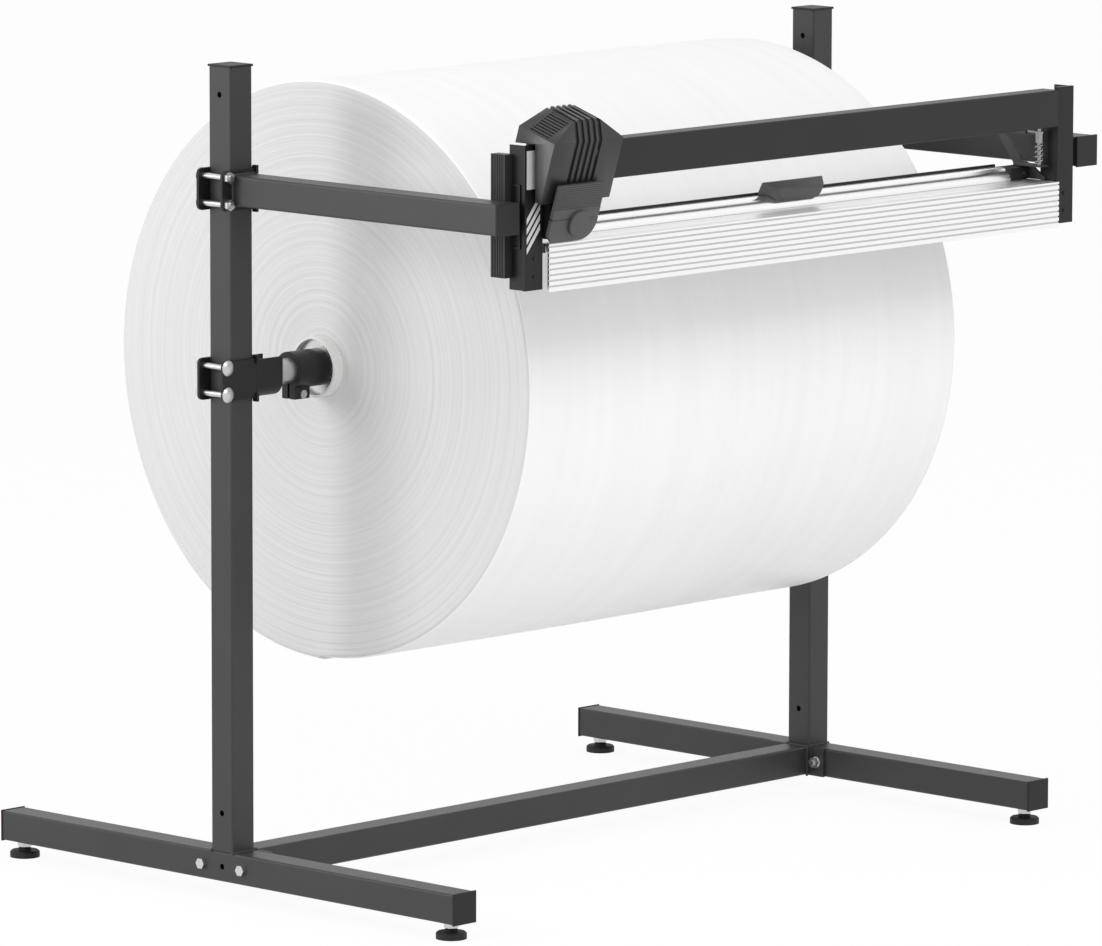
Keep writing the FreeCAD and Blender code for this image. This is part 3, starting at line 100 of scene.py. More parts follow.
class StandFinish(bpy.types.PropertyGroup):
    frame_paint: colour("Frame paint", "Powder coat on feet, posts, beam and arms", (0.03, 0.03, 0.031))
    clamp_paint: colour("Clamp paint", "Powder coat on the post clamps", (0.012, 0.012, 0.0125))
    bracket_paint: colour("Bracket paint", "Coat on the cutter's side brackets", (0.009, 0.009, 0.0095))
    beam_coat: colour("Beam coat", "Dark coat of the guide beam", (0.016, 0.016, 0.0165))
    profile_coat: colour("Profile coat", "Coat of the upright mounting profiles", (0.022, 0.022, 0.023))
    zinc: colour("Zinc", "Plated bolts and nuts", (0.62, 0.62, 0.62))
    bare_steel: colour("Bare steel", "Axle and blade", (0.62, 0.62, 0.63))
    satin_aluminium: colour("Satin aluminium", "Cutting table", (0.96, 0.96, 0.96))
    groove_shade: colour("Groove shade", "Shade in the grooves of the table", (0.6, 0.6, 0.6))
    bright_aluminium: colour("Bright aluminium", "Clamping rail", (0.96, 0.96, 0.96))
    black_plastic: colour("Black plastic", "Caps, pads, hubs and end blocks", (0.014, 0.014, 0.015))
    nylon: colour("Nylon", "Bearing and glide pads", (0.72, 0.72, 0.69))
    head_plastic: colour("Head plastic", "Moulded cover of the cutter head", (0.018, 0.018, 0.0185))
    panel_plastic: colour("Panel plastic", "Button, lower cover and lock knob", (0.08, 0.08, 0.081))
    carrier_coat: colour("Carrier coat", "Coat of the rail's two carriers", (0.045, 0.045, 0.046))
    dull_steel: colour("Dull steel", "Guide pins and the rail's spring", (0.34, 0.34, 0.34))
    grip_plastic: colour("Grip plastic", "Handle on the clamping rail", (0.085, 0.085, 0.085))
    card: colour("Card", "Wound board of the roll's core", (0.8, 0.79, 0.78))
    rail_travel: length("Rail travel", "How far the clamping rail lifts and presses its spring", 0.012)
    blank_plate: colour("Blank plate", "Plain plate and stripes on the left bracket", (0.6, 0.6, 0.6))


class WrapSizes(bpy.types.PropertyGroup):
    film: colour("Film", "Cushioning film seen from the side", (0.93, 0.93, 0.93))
    # Film edges: the end faces' colour is set darker than the side film as painted shade, for light they
    # do not take
    film_edge_painted_shade: colour("Film edges", "Cut edges of the windings", (0.63, 0.63, 0.63))
    radius: length("Radius", "Outer radius of the wound wrap", 0.3835)
    bore: length("Bore", "Radius of the hole for the core", 0.0405)
    left: length("Left reach", "Distance of the left end face from the middle", 0.396)
    right: length("Right reach", "Distance of the right end face from the middle", 0.436)
    height: length("Axle height", "Height of the roll's axis above the floor", 0.685)
    depth: length("Axle depth", "Distance of the axis behind the middle of the footprint", 0.058)
    edge: length("Edge", "Rounding where the side meets an end face", 0.008)
    sag: length("Sag", "How far the soft roll hangs down round its core", 0.007)
    oval: FloatProperty(
        name="Oval", description="Share by which the roll is taller than wide", default=0.007
    )
    lap: length("Lap", "Thickness of the film's last turn", 0.0035)
    rings: IntProperty(
        name="Rings",
        description="Bands on an end face that stand out unevenly",
        default=24,
        min=4,
        max=60,
    )
    ring_depth: length("Ring depth", "Greatest difference between two bands", 0.0004)
    ring_turn: FloatProperty(
        name="Ring turn", description="Step of the wave from band to band", default=1.7
    )
    windings: IntProperty(
        name="Windings", description="Single turns that show in each band", default=3, min=1, max=8
    )
    segments: IntProperty(
        name="Segments", description="Steps round the roll", default=192, min=48, max=512
    )


class WeldSizes(bpy.types.PropertyGroup):
    bead: length("Bead", "Radius of one weld bead", 0.0021)
    pitch: length("Pitch", "Distance between two weld beads", 0.0022)


class StageSizes(bpy.types.PropertyGroup):
    camera: FloatVectorProperty(
        name="Camera",
        description="Place of the camera",
        default=(-8.5038, -8.11765, 2.22818),
        size=3,
        subtype="XYZ",
        unit="LENGTH",
    )
    yaw: turn("Yaw", "Turn of the view from +Y towards +X", 46.2606)
    pitch: turn("Pitch", "Tilt of the view below the horizon", 8.3258)
    roll: turn("Roll", "Turn of the view about its own line", 0.1102)
    lens: FloatProperty(
        name="Lens",
        description="Focal length",
        default=289.108,
        min=1.0,
        subtype="DISTANCE_CAMERA",
        unit="CAMERA",
    )
    floor: length("Floor", "Half width of the floor", 40.0)
    floor_tone: colour("Floor tone", "Colour of the floor", (0.94, 0.94, 0.94))
    ambient: FloatProperty(
        name="Ambient", description="Strength of the plain surroundings", default=0.76, min=0.0
    )
    key: power("Key", "Power of the lamp at the rear left", 55.0)
    fill: power("Fill", "Power of the lamp above the front", 90.0)


# Materials


def add_node(tree, kind, **values):
    """Add a shader node and set its properties and unlinked sockets by name."""
    node = tree.nodes.new(kind)
    for name, value in values.items():
        if hasattr(node, name):
            setattr(node, name, value)
        else:
            node.inputs[name.replace("_", " ").title()].default_value = value
    return node


def start_material(name, shader=None):
    """A material with a Principled shader whose plain values are set on its own sockets."""
    material = bpy.data.materials.new(name)
    material.use_nodes = True
    tree = material.node_tree
    surface = tree.nodes["Principled BSDF"]
    for socket, value in (shader or {}).items():
        surface.inputs[socket].default_value = value
    return material, tree, surface


def place_on_object(tree, scale=(1.0, 1.0, 1.0), location=(0.0, 0.0, 0.0)):
    """Object coordinates, moved and then stretched."""
    coordinates = add_node(tree, "ShaderNodeTexCoord")
    moved = [place * stretch for place, stretch in zip(location, scale)]
    mapping = add_node(tree, "ShaderNodeMapping", Location=moved, Scale=scale)
    tree.links.new(coordinates.outputs["Object"], mapping.inputs["Vector"])
    return mapping.outputs["Vector"]


def grain(tree, vector, scale, detail=4.0, roughness=0.55):
    noise = add_node(tree, "ShaderNodeTexNoise", Scale=scale, Detail=detail, Roughness=roughness)
    tree.links.new(vector, noise.inputs["Vector"])
    return noise.outputs["Fac"]


def spread(tree, value, low, high, start=0.25, end=0.75):
    """Map a grain onto a range of values."""
    ranger = add_node(tree, "ShaderNodeMapRange", From_Min=start, From_Max=end, To_Min=low, To_Max=high)
    tree.links.new(value, ranger.inputs["Value"])
    return ranger.outputs["Result"]


def tint(tree, value, tone, low, high):
    """A colour that varies from a darker to a lighter shade of one tone."""
    mix = add_node(tree, "ShaderNodeMix", data_type="RGBA")
    mix.inputs[6].default_value = (*[low * part for part in tone], 1.0)
    mix.inputs[7].default_value = (*[min(1.0, high * part) for part in tone], 1.0)
    tree.links.new(value, mix.inputs[0])
    return mix.outputs[2]


def bump(tree, height, strength, distance, below=None):
    node = add_node(tree, "ShaderNodeBump", Strength=strength, Distance=distance)
    tree.links.new(height, node.inputs["Height"])
    if below is not None:
        tree.links.new(below, node.inputs["Normal"])
    return node.outputs["Normal"]


def soft_edges(tree, radius):
    """Normals that turn smoothly over a small radius at each sharp edge."""
    return add_node(tree, "ShaderNodeBevel", samples=4, Radius=radius).outputs["Normal"]


def powder_coat(name, tone, edge=0.0008, sheen=0.45):
    """Baked paint: a fine orange peel, a slight cloudiness and softly rounded edges."""
    material, tree, surface = start_material(name, {"Specular IOR Level": sheen})
    vector = place_on_object(tree)
    cloud = spread(tree, grain(tree, vector, scale=9.0), low=0.0, high=1.0)
    tree.links.new(tint(tree, cloud, tone, low=0.9, high=1.1), surface.inputs["Base Color"])
    peel = grain(tree, vector, scale=620.0, detail=2.0)
    tree.links.new(spread(tree, peel, low=0.36, high=0.5), surface.inputs["Roughness"])
    normal = bump(tree, peel, strength=0.22, distance=0.0004, below=soft_edges(tree, edge))
    tree.links.new(normal, surface.inputs["Normal"])
    return material


def moulded(name, tone, rough=0.45, edge=0.0006, fine=1500.0, sheen=0.3, gloss_cloud=0.05):
    """Moulded plastic: a fine spark-eroded grain and a faint cloud in its gloss."""
    material, tree, surface = start_material(name, {"Specular IOR Level": sheen})
    vector = place_on_object(tree)
    cloud = spread(tree, grain(tree, vector, scale=30.0), low=0.0, high=1.0)
    tree.links.new(tint(tree, cloud, tone, low=0.94, high=1.06), surface.inputs["Base Color"])
    speck = grain(tree, vector, scale=fine, detail=2.0)
    gloss = spread(tree, cloud, low=rough - gloss_cloud, high=rough + gloss_cloud, start=0.0, end=1.0)
    tree.links.new(gloss, surface.inputs["Roughness"])
    normal = bump(tree, speck, strength=0.2, distance=0.0002, below=soft_edges(tree, edge))
    tree.links.new(normal, surface.inputs["Normal"])
    return material


def metal(name, tone, rough, streak=(1.0, 1.0, 1.0), depth=0.1, edge=0.0004, cloud=0.09):
    """Bare or plated metal with a grain that can be drawn out along one axis."""
    material, tree, surface = start_material(name, {"Metallic": 1.0})
    vector = place_on_object(tree, scale=streak)
    lines = grain(tree, vector, scale=420.0, detail=5.0, roughness=0.65)
    shade_of_lines = spread(tree, lines, low=0.0, high=1.0)
    colours = tint(tree, shade_of_lines, tone, low=1 - cloud, high=1 + cloud / 2)
    tree.links.new(colours, surface.inputs["Base Color"])
    gloss = spread(tree, lines, low=rough - cloud, high=rough + cloud)
    tree.links.new(gloss, surface.inputs["Roughness"])
    normal = bump(tree, lines, strength=depth, distance=0.0002, below=soft_edges(tree, edge))
    tree.links.new(normal, surface.inputs["Normal"])
    return material


def ribbed_metal(name, tone, rough, floor_depth, groove_tone, reach=0.0009):
    """Drawn metal whose grooves, a little behind its front face, collect shade."""
    material = metal(name, tone, rough, streak=ALONG_X, depth=0.02, cloud=0.03)
    tree = material.node_tree
    surface = tree.nodes["Principled BSDF"]
    plain = surface.inputs["Base Color"].links[0].from_socket
    apart = add_node(tree, "ShaderNodeSeparateXYZ")
    tree.links.new(place_on_object(tree), apart.inputs["Vector"])
    inside = add_node(tree, "ShaderNodeMath", operation="COMPARE")
    inside.inputs[1].default_value = floor_depth
    inside.inputs[2].default_value = reach
    tree.links.new(apart.outputs["Y"], inside.inputs[0])
    mix = add_node(tree, "ShaderNodeMix", data_type="RGBA")
    mix.inputs[7].default_value = (*groove_tone, 1.0)
    tree.links.new(inside.outputs["Value"], mix.inputs[0])
    tree.links.new(plain, mix.inputs[6])
    tree.links.new(mix.outputs[2], surface.inputs["Base Color"])
    return material


def card_board(name, tone):
    """Grey-white board with short fibres."""
    material, tree, surface = start_material(name, {"Roughness": 0.85})
    vector = place_on_object(tree, scale=(0.3, 1.0, 1.0))
    fibres = grain(tree, vector, scale=500.0, detail=6.0, roughness=0.7)
    shade_of_fibres = spread(tree, fibres, low=0.0, high=1.0)
    tree.links.new(tint(tree, shade_of_fibres, tone, low=0.88, high=1.05), surface.inputs["Base Color"])
    tree.links.new(bump(tree, fibres, strength=0.3, distance=0.0003), surface.inputs["Normal"])
    return material


def film_side(name, wrap):
    """Cushioning film seen on the roll's side: faint bubbles, pulled bands and a soft gloss."""
    material, tree, surface = start_material(name, {"Roughness": 0.42, "Specular IOR Level": 0.4})
    vector = place_on_object(tree, location=(0.0, -wrap.depth, -wrap.height))
    bands = grain(tree, place_on_object(tree, scale=(14.0, 0.6, 0.6)), scale=3.0, detail=3.0)
    shade_of_bands = spread(tree, bands, low=0.0, high=1.0)
    tone = tint(tree, shade_of_bands, wrap.film, low=0.965, high=1.01)
    tree.links.new(tone, surface.inputs["Base Color"])
    cells = add_node(
        tree, "ShaderNodeTexVoronoi", feature="SMOOTH_F1", Scale=95.0, Smoothness=0.6, Randomness=0.35
    )
    tree.links.new(vector, cells.inputs["Vector"])
    bubbles = bump(tree, cells.outputs["Distance"], strength=0.16, distance=0.0012)
    normal = bump(tree, bands, strength=0.25, distance=0.003, below=bubbles)
    tree.links.new(normal, surface.inputs["Normal"])
    return material


def film_ends(name, wrap, wobble=0.008):
    """The end face of the windings: uneven rings that shade with the distance from the axle, on a base
    tone painted darker than the side film as painted shade.
    """
    material, tree, surface = start_material(name, {"Roughness": 0.6})
    vector = place_on_object(tree, location=(0.0, -wrap.depth, -wrap.height))
    flat = add_node(tree, "ShaderNodeVectorMath", operation="MULTIPLY")
    flat.inputs[1].default_value = (0.0, 1.0, 1.0)
    tree.links.new(vector, flat.inputs[0])
    away = add_node(tree, "ShaderNodeVectorMath", operation="LENGTH")
    tree.links.new(flat.outputs["Vector"], away.inputs[0])
    drift = add_node(tree, "ShaderNodeMath", operation="MULTIPLY_ADD")
    drift.inputs[1].default_value = wobble
    tree.links.new(grain(tree, vector, scale=2.5, detail=2.0), drift.inputs[0])
    tree.links.new(away.outputs["Value"], drift.inputs[2])
    fine = add_node(
        tree, "ShaderNodeTexNoise", noise_dimensions="1D", Scale=160.0, Detail=3.0, Roughness=0.6
    )
    tree.links.new(drift.outputs["Value"], fine.inputs["W"])
    shade_of_rings = spread(tree, fine.outputs["Fac"], low=0.0, high=1.0, start=0.3, end=0.7)
    # Painted shade: the end faces take a base colour darker than the side film
    tone = tint(tree, shade_of_rings, wrap.film_edge_painted_shade, low=0.97, high=1.05)
    tree.links.new(tone, surface.inputs["Base Color"])
    crinkle = bump(tree, grain(tree, vector, scale=240.0, detail=3.0), strength=0.15, distance=0.001)
    normal = bump(tree, fine.outputs["Fac"], strength=0.07, distance=0.002, below=crinkle)
    tree.links.new(normal, surface.inputs["Normal"])
    return material


def dress(material, *names):
    """Give CAD nodes a material."""
    for name in names:
        slots = NODES[name].data.materials
        slots.clear()
        slots.append(material)


# Meshes


def finish_piece(mesh, name, body, slot, *materials):
    """Turn a bmesh into an object that rides on a body and takes the given materials; the slot argument
    is not used.
    """
    bmesh.ops.remove_doubles(mesh, verts=mesh.verts, dist=MERGE_GAP)
    bmesh.ops.recalc_face_normals(mesh, faces=mesh.faces)
    data = bpy.data.meshes.new(name)
    mesh.to_mesh(data)
    mesh.free()
    piece = bpy.data.objects.new(name, data)
    bpy.context.scene.collection.objects.link(piece)
    for material in materials:
        data.materials.append(material)
    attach(piece, body)
    return piece


def shade(piece, angle):
    """Smooth shading that keeps edges sharper than an angle."""
    for face in piece.data.polygons:
        face.use_smooth = True
    mesh = bmesh.new()
    mesh.from_mesh(piece.data)
    for edge in mesh.edges:
        edge.smooth = len(edge.link_faces) == 2 and edge.calc_face_angle(0.0) < angle
    mesh.to_mesh(piece.data)
    mesh.free()


def weld_run(mesh, start, end, sizes, swelling=0.12, swell_step=2.4):
    """A row of overlapping beads of uneven size from one point to another."""
    run = end - start
    count = max(2, round(run.length / sizes.pitch))
    for index in range(count + 1):
        place = start + run * (index / count)
        radius = sizes.bead * (1.0 + swelling * math.sin(index * swell_step))
        matrix = Matrix.Translation(place)
        bmesh.ops.create_icosphere(mesh, subdivisions=2, radius=radius, matrix=matrix)


def node_copy(name, piece_name, flat_angle):
    """A joined copy of a CAD node's mesh that rides on the node's body and stands for it."""
    mesh = bmesh.new()
    mesh.from_mesh(NODES[name].data)
    bmesh.ops.remove_doubles(mesh, verts=mesh.verts, dist=NODE_MERGE_GAP)
    if flat_angle:
        bmesh.ops.dissolve_limit(mesh, angle_limit=flat_angle, verts=mesh.verts, edges=mesh.edges)
    for face in mesh.faces:
        face.smooth = True
    data = bpy.data.meshes.new(piece_name)
    mesh.to_mesh(data)
    mesh.free()
    piece = bpy.data.objects.new(piece_name, data)
    bpy.context.scene.collection.objects.link(piece)
    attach(piece, BODY_OF[name])
    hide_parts(name)
    return piece


def rounded_copy(name, edge, angle=0.45, flat_angle=0.02):
    """A copy of a CAD node whose sharp edges are bevelled."""
    piece = node_copy(name, name + "_rounded", flat_angle)
    bevel = piece.modifiers.new("edges", "BEVEL")
    bevel.width = edge
    bevel.segments = 2
    bevel.limit_method = "ANGLE"
    bevel.angle_limit = angle
    bevel.harden_normals = True
    return piece


# Operators


class ROLLSTAND_OT_frame(bpy.types.Operator):
    """Paint the feet, posts, cross beam and arms"""

    bl_idname = "rollstand.frame"
    bl_label = "Frame"

    def execute(self, context):
        finish = context.scene.stand_finish
        paint = powder_coat("frame powder coat", finish.frame_paint)
        dress(paint, "foot_tube_left", "foot_tube_right", "post_left", "post_right", "cross_beam")
        dress(paint, "cross_beam_end_plates", "arm_left", "arm_right")
        cap = moulded("cap plastic", finish.black_plastic, rough=0.5)
        dress(cap, "post_caps", "foot_end_caps", "arm_end_caps")
        return {"FINISHED"}


class ROLLSTAND_OT_welds(bpy.types.Operator):
    """Lay the weld beads at the posts' feet, the arms and the cross beam"""

    bl_idname = "rollstand.welds"
    bl_label = "Weld beads"
    smooth_below = 1.2

    def execute(self, context):
        sizes = context.scene.weld_sizes
        material = bpy.data.materials["frame powder coat"]
        for hand in ("left", "right"):
            low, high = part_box("post_" + hand)
            mesh = bmesh.new()
            for depth in (low.y, high.y):
                weld_run(mesh, Vector((low.x, depth, low.z)), Vector((high.x, depth, low.z)), sizes)
            beam_low, beam_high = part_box("cross_beam")
            end = beam_low.x if hand == "left" else beam_high.x
            for depth in (beam_low.y, beam_high.y):
                start, stop = Vector((end, depth, beam_low.z)), Vector((end, depth, beam_high.z))
                weld_run(mesh, start, stop, sizes)
            start, stop = Vector((end, beam_low.y, beam_high.z)), Vector((end, beam_high.y, beam_high.z))
            weld_run(mesh, start, stop, sizes)
            piece = finish_piece(mesh, "foot_welds_" + hand, "base", "frame_paint", material)
            shade(piece, self.smooth_below)
            low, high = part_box("arm_" + hand)
            mesh = bmesh.new()
            corners = [(low.x, low.z), (high.x, low.z), (high.x, high.z), (low.x, high.z)]
            for first, second in zip(corners, corners[1:] + corners[:1]):
                start, stop = Vector((first[0], high.y, first[1])), Vector((second[0], high.y, second[1]))
                weld_run(mesh, start, stop, sizes)
            piece = finish_piece(mesh, "arm_welds_" + hand, "cutter_frame", "frame_paint", material)
            shade(piece, self.smooth_below)
        return {"FINISHED"}


class ROLLSTAND_OT_clamps(bpy.types.Operator):
    """Paint the post clamps and plate their bolts and nuts"""

    bl_idname = "rollstand.clamps"
    bl_label = "Clamps and fasteners"

    def execute(self, context):
        finish = context.scene.stand_finish
        paint = powder_coat("clamp powder coat", finish.clamp_paint, sheen=0.3)
        dress(paint, "saddle_bracket_left", "saddle_bracket_right", "saddle_plates")
        dress(paint, "arm_clamp_bracket_left", "arm_clamp_bracket_right", "arm_clamp_plates")
        plate = metal("zinc plate", finish.zinc, 0.32)
        dress(plate, "frame_bolts", "frame_nuts", "levelling_jam_nuts", "saddle_bolts", "saddle_nuts")
        dress(plate, "arm_clamp_bolts", "arm_clamp_nuts", "hub_screws", "bracket_screws")
        dress(moulded("nylon", finish.nylon, rough=0.4), "axle_bearing_pads", "glide_pads")
        return {"FINISHED"}


class ROLLSTAND_OT_pads(bpy.types.Operator):
    """Give the levelling feet their black moulded finish"""

    bl_idname = "rollstand.pads"
    bl_label = "Levelling feet"

    def execute(self, context):
        rubber = moulded("pad plastic", context.scene.stand_finish.black_plastic, rough=0.6, fine=900.0)
        for depth in ("front", "rear"):
            for hand in ("left", "right"):
                dress(rubber, "levelling_foot_" + depth + "_" + hand)
        return {"FINISHED"}


class ROLLSTAND_OT_axle(bpy.types.Operator):
    """Finish the axle, its hubs and the roll's core"""

    bl_idname = "rollstand.axle"
    bl_label = "Axle, hubs and core"

    def execute(self, context):
        finish = context.scene.stand_finish
        dress(metal("axle steel", finish.bare_steel, 0.38, streak=(0.05, 1.0, 1.0)), "axle_tube")
        dress(moulded("hub plastic", finish.black_plastic, rough=0.38), "hub_left", "hub_right")
        dress(metal("cone plate", finish.zinc, 0.28), "hub_cones")
        dress(card_board("core board", finish.card), "roll_core")
        return {"FINISHED"}


class ROLLSTAND_OT_wrap(bpy.types.Operator):
    """Wind the wrap: a spiral side with a free end, and end faces with uneven rings"""

    bl_idname = "rollstand.wrap"
    bl_label = "Wound wrap"
    # Share of a winding's width, and how deep the groove is there
    winding_form = ((0.0, 0.0003), (0.3, 0.0), (0.7, 0.0))
    uneven_depth, uneven_step = 0.0002, 2.3
    edge_steps, side_steps = 6, 24
    side_inset = 2
    # The side's slow waves: height, waves round the roll, and their drift along it
    wave_height, wave_count, wave_drift = 0.0006, 5, 9
    clearance = 0.0006
    lap_reach = 3
    end_normal = 0.75

    def outline(self, wrap):
        """Points of half a section, from the left bore edge over the side to the right one."""
        turn_width = (wrap.radius - wrap.edge - wrap.bore) / (wrap.rings * wrap.windings)
        left, right = [], []
        for index in range(wrap.rings * wrap.windings):
            dip = wrap.ring_depth * (1 + math.sin(wrap.ring_turn * (index // wrap.windings))) / 2
            dip += self.uneven_depth * math.sin(index * self.uneven_step)
            for share, groove in self.winding_form:
                reach = wrap.bore + turn_width * (index + share)
                left.append(Vector((-wrap.left + dip + groove, 0.0, reach)))
                right.append(Vector((wrap.right - dip - groove, 0.0, reach)))
        round_left, round_right = [], []
        for step in range(1, self.edge_steps):
            angle = math.pi / 2 * step / self.edge_steps
            out = wrap.radius - wrap.edge + wrap.edge * math.sin(angle)
            back = wrap.edge * (1 - math.cos(angle))
            round_left.append(Vector((-wrap.left + back, 0.0, out)))
            round_right.append(Vector((wrap.right - back, 0.0, out)))
        inset = self.side_inset * wrap.edge
        inner_left, inner_right = -wrap.left + inset, wrap.right - inset
        side = []
        for step in range(self.side_steps + 1):
            along = inner_left + (inner_right - inner_left) * step / self.side_steps
            side.append(Vector((along, 0.0, wrap.radius)))
        return left + round_left + side + round_right[::-1] + right[::-1]

    def execute(self, context):
        wrap = context.scene.wrap_sizes
        mesh = bmesh.new()
        points = [mesh.verts.new(point) for point in self.outline(wrap)]
        edges = [mesh.edges.new(pair) for pair in zip(points, points[1:])]
        edges.append(mesh.edges.new((points[-1], points[0])))
        bmesh.ops.spin(
            mesh,
            geom=points + edges,
            cent=(0.0, 0.0, 0.0),
            axis=(1.0, 0.0, 0.0),
            angle=2 * math.pi,
            steps=wrap.segments,
            use_merge=True,
        )
        lap_reach = self.lap_reach * wrap.edge
        for vert in mesh.verts:
            radius = math.hypot(vert.co.y, vert.co.z)
            round_share = (math.atan2(vert.co.y, -vert.co.z) / (2 * math.pi)) % 1.0
            phase = self.wave_count * round_share * 2 * math.pi + self.wave_drift * vert.co.x
            wave = self.wave_height * math.sin(phase) * (radius / wrap.radius) ** 2
            share = max(0.0, (radius - wrap.radius + lap_reach) / lap_reach)
            shrink = wrap.lap * round_share * share + self.clearance + wave
            vert.co.y *= 1 - shrink / radius - wrap.oval / 2
            vert.co.z *= 1 - shrink / radius + wrap.oval / 2
            vert.co.z -= wrap.sag * (radius - wrap.bore) / (wrap.radius - wrap.bore)
        bmesh.ops.translate(mesh, verts=mesh.verts, vec=(0.0, wrap.depth, wrap.height))
        side = film_side("cushioning film", wrap)
        ends = film_ends("film edges with painted shade", wrap)
        piece = finish_piece(mesh, "wound_wrap", "roll", "wrap_white", side, ends)
        for face in piece.data.polygons:
            face.use_smooth = True
            face.material_index = 1 if abs(face.normal.x) > self.end_normal else 0
        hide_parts("wrap_roll")
        return {"FINISHED"}


class ROLLSTAND_OT_table(bpy.types.Operator):
    """Finish the guide beam, the cutting table and the side brackets"""

    bl_idname = "rollstand.table"
    bl_label = "Beam, table and brackets"
    groove_depth = 0.0015

    def execute(self, context):
        finish = context.scene.stand_finish
        dress(powder_coat("beam coat", finish.beam_coat, sheen=0.3), "guide_beam")
        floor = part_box("table_extrusion")[0].y + self.groove_depth
        shade_of_grooves = finish.groove_shade
        satin = ribbed_metal("satin aluminium", finish.satin_aluminium, 0.34, floor, shade_of_grooves)
        dress(satin, "table_extrusion")
        dress(powder_coat("profile coat", finish.profile_coat, edge=0.0003), "side_mount_profiles")
        bracket = powder_coat("bracket coat", finish.bracket_paint, edge=0.0006, sheen=0.3)
        dress(bracket, "side_bracket_left", "side_bracket_right")
        dress(moulded("blank plate", finish.blank_plate, rough=0.5, edge=0.0001), "label_plate")
        return {"FINISHED"}


class ROLLSTAND_OT_rail(bpy.types.Operator):
    """Finish the clamping rail with its carriers, spring and handle"""

    bl_idname = "rollstand.rail"
    bl_label = "Clamping rail"

    def execute(self, context):
        finish = context.scene.stand_finish
        tone = finish.bright_aluminium
        bright = metal("bright aluminium", tone, 0.24, streak=ALONG_X, depth=0.02, cloud=0.03)
        dress(bright, "clamping_rail")
        black = moulded("rail plastic", finish.black_plastic)
        dress(black, "rail_edge_strip", "rail_end_blocks")
        carrier = powder_coat("carrier coat", finish.carrier_coat)
        dress(carrier, "rail_carrier_left", "rail_carrier_right")
        steel = metal("spring steel", finish.dull_steel, 0.25)
        dress(steel, "guide_pins")
        coil = node_copy("rail_spring", "rail_spring_coil", 0.0)
        coil.data.materials.clear()
        coil.data.materials.append(steel)
        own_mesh(coil)
        grip = moulded("grip plastic", finish.grip_plastic)
        rounded_copy("rail_handle", 0.0008).data.materials.append(grip)
        return {"FINISHED"}


class ROLLSTAND_OT_head(bpy.types.Operator):
    """Round and finish the moulded pieces of the cutter head"""

    bl_idname = "rollstand.head"
    bl_label = "Cutter head"

    def execute(self, context):
        finish = context.scene.stand_finish
        shell = moulded("head plastic", finish.head_plastic, rough=0.36, sheen=0.6)
        panel = moulded("panel plastic", finish.panel_plastic, rough=0.45)
        dress(moulded("carriage plastic", finish.black_plastic), "head_carriage", "blade_holder")
        dress(metal("blade steel", finish.bare_steel, 0.22, streak=(1.0, 1.0, 0.05)), "cutting_blade")
        rounded_copy("head_cover", 0.0007).data.materials.append(shell)
        for name in ("head_button", "blade_cover", "blade_lock_knob"):
            rounded_copy(name, 0.0005).data.materials.append(panel)
        return {"FINISHED"}


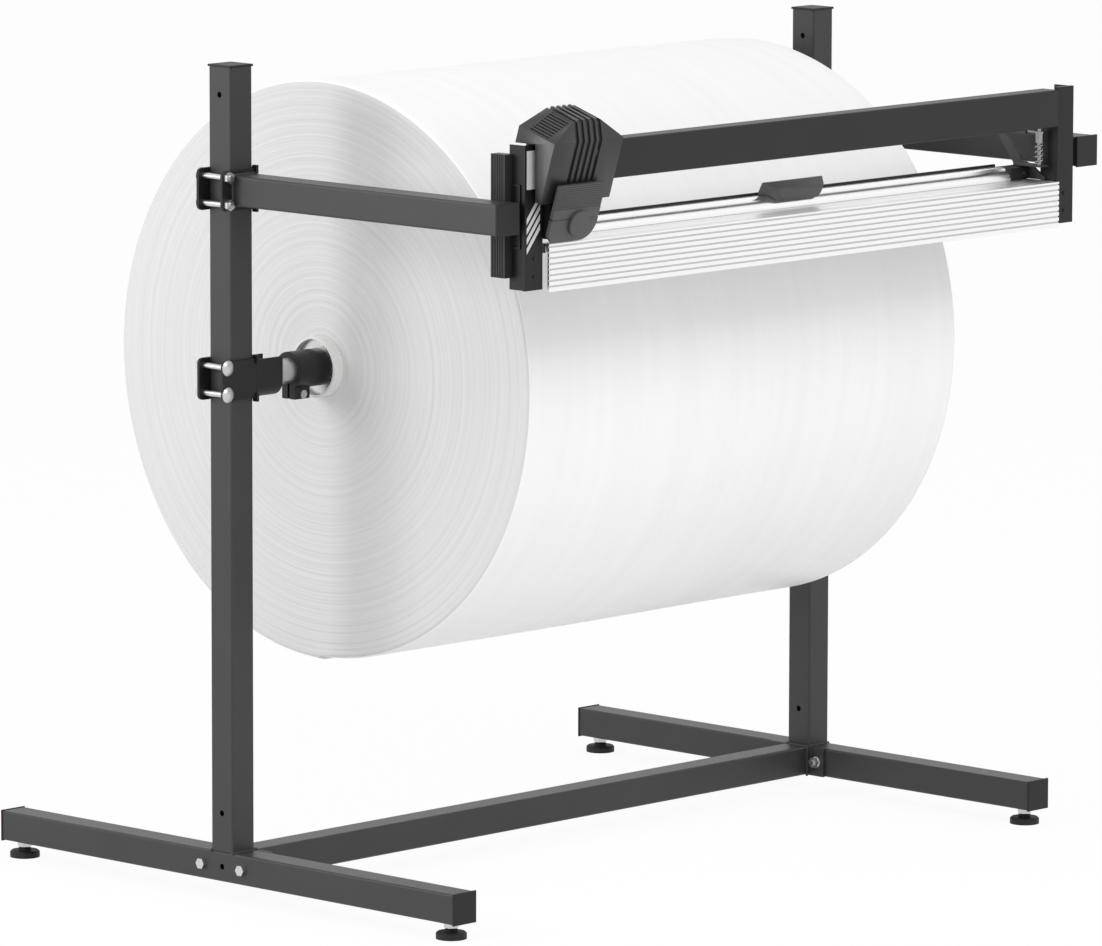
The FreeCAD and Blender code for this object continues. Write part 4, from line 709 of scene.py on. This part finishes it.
class ROLLSTAND_OT_stage(bpy.types.Operator):
    """Set the floor, the surroundings, the lamps and the camera"""

    bl_idname = "rollstand.stage"
    bl_label = "Stage"
    floor_pale_share, backdrop_pale_share = 0.93, 1.0
    # Place, aim and size of each lamp
    left_lamp = ((-3.5, 1.6, 1.8), (0.0, 0.0, 0.7), (1.8, 1.8))
    front_lamp = ((-1.0, -4.0, 4.5), (0.0, 0.0, 0.6), (3.5, 2.5))
    film_width = 36.0
    near, far = 0.1, 200.0

    def pale(self, tree, shader, target, strength):
        """Show a shader as plain white to the rays that look at the background."""
        rays = add_node(tree, "ShaderNodeLightPath")
        seen = add_node(tree, "ShaderNodeMath", operation="MAXIMUM")
        tree.links.new(rays.outputs["Is Camera Ray"], seen.inputs[0])
        tree.links.new(rays.outputs["Is Glossy Ray"], seen.inputs[1])
        through = add_node(tree, "ShaderNodeMath", operation="MAXIMUM")
        tree.links.new(seen.outputs["Value"], through.inputs[0])
        tree.links.new(rays.outputs["Is Transmission Ray"], through.inputs[1])
        share = add_node(tree, "ShaderNodeMath", operation="MULTIPLY")
        share.inputs[1].default_value = strength
        tree.links.new(through.outputs["Value"], share.inputs[0])
        white = add_node(tree, "ShaderNodeEmission")
        white.inputs["Color"].default_value = (1.0, 1.0, 1.0, 1.0)
        mix = add_node(tree, "ShaderNodeMixShader")
        tree.links.new(share.outputs["Value"], mix.inputs[0])
        tree.links.new(shader, mix.inputs[1])
        tree.links.new(white.outputs["Emission"], mix.inputs[2])
        tree.links.new(mix.outputs["Shader"], target)

    def lamp(self, name, place, aim, size, power):
        data = bpy.data.lights.new(name, "AREA")
        data.shape = "RECTANGLE"
        data.size, data.size_y = size
        data.energy = power
        lamp = bpy.data.objects.new(name, data)
        bpy.context.scene.collection.objects.link(lamp)
        lamp.location = place
        lamp.rotation_euler = (Vector(aim) - Vector(place)).to_track_quat("-Z", "Y").to_euler()

    def execute(self, context):
        stage = context.scene.stage_sizes
        mesh = bmesh.new()
        bmesh.ops.create_grid(mesh, x_segments=1, y_segments=1, size=stage.floor)
        data = bpy.data.meshes.new("floor")
        mesh.to_mesh(data)
        mesh.free()
        floor = bpy.data.objects.new("floor", data)
        context.scene.collection.objects.link(floor)
        material, tree, surface = start_material("floor", {"Roughness": 0.9, "Specular IOR Level": 0.0})
        surface.inputs["Base Color"].default_value = (*stage.floor_tone, 1.0)
        output = tree.nodes["Material Output"]
        self.pale(tree, surface.outputs["BSDF"], output.inputs["Surface"], self.floor_pale_share)
        data.materials.append(material)

        world = bpy.data.worlds.new("surroundings")
        world.use_nodes = True
        context.scene.world = world
        around = world.node_tree.nodes["Background"]
        around.inputs["Color"].default_value = (1.0, 1.0, 1.0, 1.0)
        around.inputs["Strength"].default_value = stage.ambient
        output = world.node_tree.nodes["World Output"]
        background = around.outputs["Background"]
        self.pale(world.node_tree, background, output.inputs["Surface"], self.backdrop_pale_share)

        self.lamp("left lamp", *self.left_lamp, stage.key)
        self.lamp("front lamp", *self.front_lamp, stage.fill)

        data = bpy.data.cameras.new("camera")
        camera = bpy.data.objects.new("camera", data)
        context.scene.collection.objects.link(camera)
        flat = math.cos(stage.pitch)
        ahead = Vector((math.sin(stage.yaw) * flat, math.cos(stage.yaw) * flat, -math.sin(stage.pitch)))
        right = Vector((math.cos(stage.yaw), -math.sin(stage.yaw), 0.0))
        up = right.cross(ahead)
        leaning_right = right * math.cos(stage.roll) + up * math.sin(stage.roll)
        leaning_up = up * math.cos(stage.roll) - right * math.sin(stage.roll)
        turn = Matrix((leaning_right, leaning_up, -ahead)).transposed()
        camera.matrix_world = Matrix.Translation(stage.camera) @ turn.to_4x4()
        data.lens = stage.lens
        data.sensor_width = self.film_width
        data.clip_start, data.clip_end = self.near, self.far
        context.scene.camera = camera
        context.scene.view_settings.view_transform = "Standard"
        return {"FINISHED"}


class ROLLSTAND_PT_panel(bpy.types.Panel):
    """The pieces of the roll stand"""

    bl_label = "Roll stand"
    bl_idname = "ROLLSTAND_PT_panel"
    bl_space_type = "VIEW_3D"
    bl_region_type = "UI"
    bl_category = "Roll stand"

    def draw(self, context):
        for operator in OPERATORS:
            self.layout.operator(operator.bl_idname)
        for group in GROUPS:
            owner = getattr(context.scene, group)
            box = self.layout.box()
            for name in owner.bl_rna.properties.keys():
                if name not in {"rna_type", "name"}:
                    box.prop(owner, name)


OPERATORS = (
    ROLLSTAND_OT_stage,
    ROLLSTAND_OT_frame,
    ROLLSTAND_OT_welds,
    ROLLSTAND_OT_clamps,
    ROLLSTAND_OT_pads,
    ROLLSTAND_OT_axle,
    ROLLSTAND_OT_wrap,
    ROLLSTAND_OT_table,
    ROLLSTAND_OT_rail,
    ROLLSTAND_OT_head,
)
GROUPS = {
    "stand_finish": StandFinish,
    "wrap_sizes": WrapSizes,
    "weld_sizes": WeldSizes,
    "stage_sizes": StageSizes,
}


def register():
    for name, group in GROUPS.items():
        bpy.utils.register_class(group)
        setattr(bpy.types.Scene, name, PointerProperty(type=group))
    for operator in OPERATORS:
        bpy.utils.register_class(operator)
    bpy.utils.register_class(ROLLSTAND_PT_panel)


def unregister():
    bpy.utils.unregister_class(ROLLSTAND_PT_panel)
    for operator in reversed(OPERATORS):
        bpy.utils.unregister_class(operator)
    for name, group in GROUPS.items():
        delattr(bpy.types.Scene, name)
        bpy.utils.unregister_class(group)


def main():
    register()
    for operator in OPERATORS:
        family, name = operator.bl_idname.split(".")
        getattr(getattr(bpy.ops, family), name)()


if __name__ == "__main__":
    main()
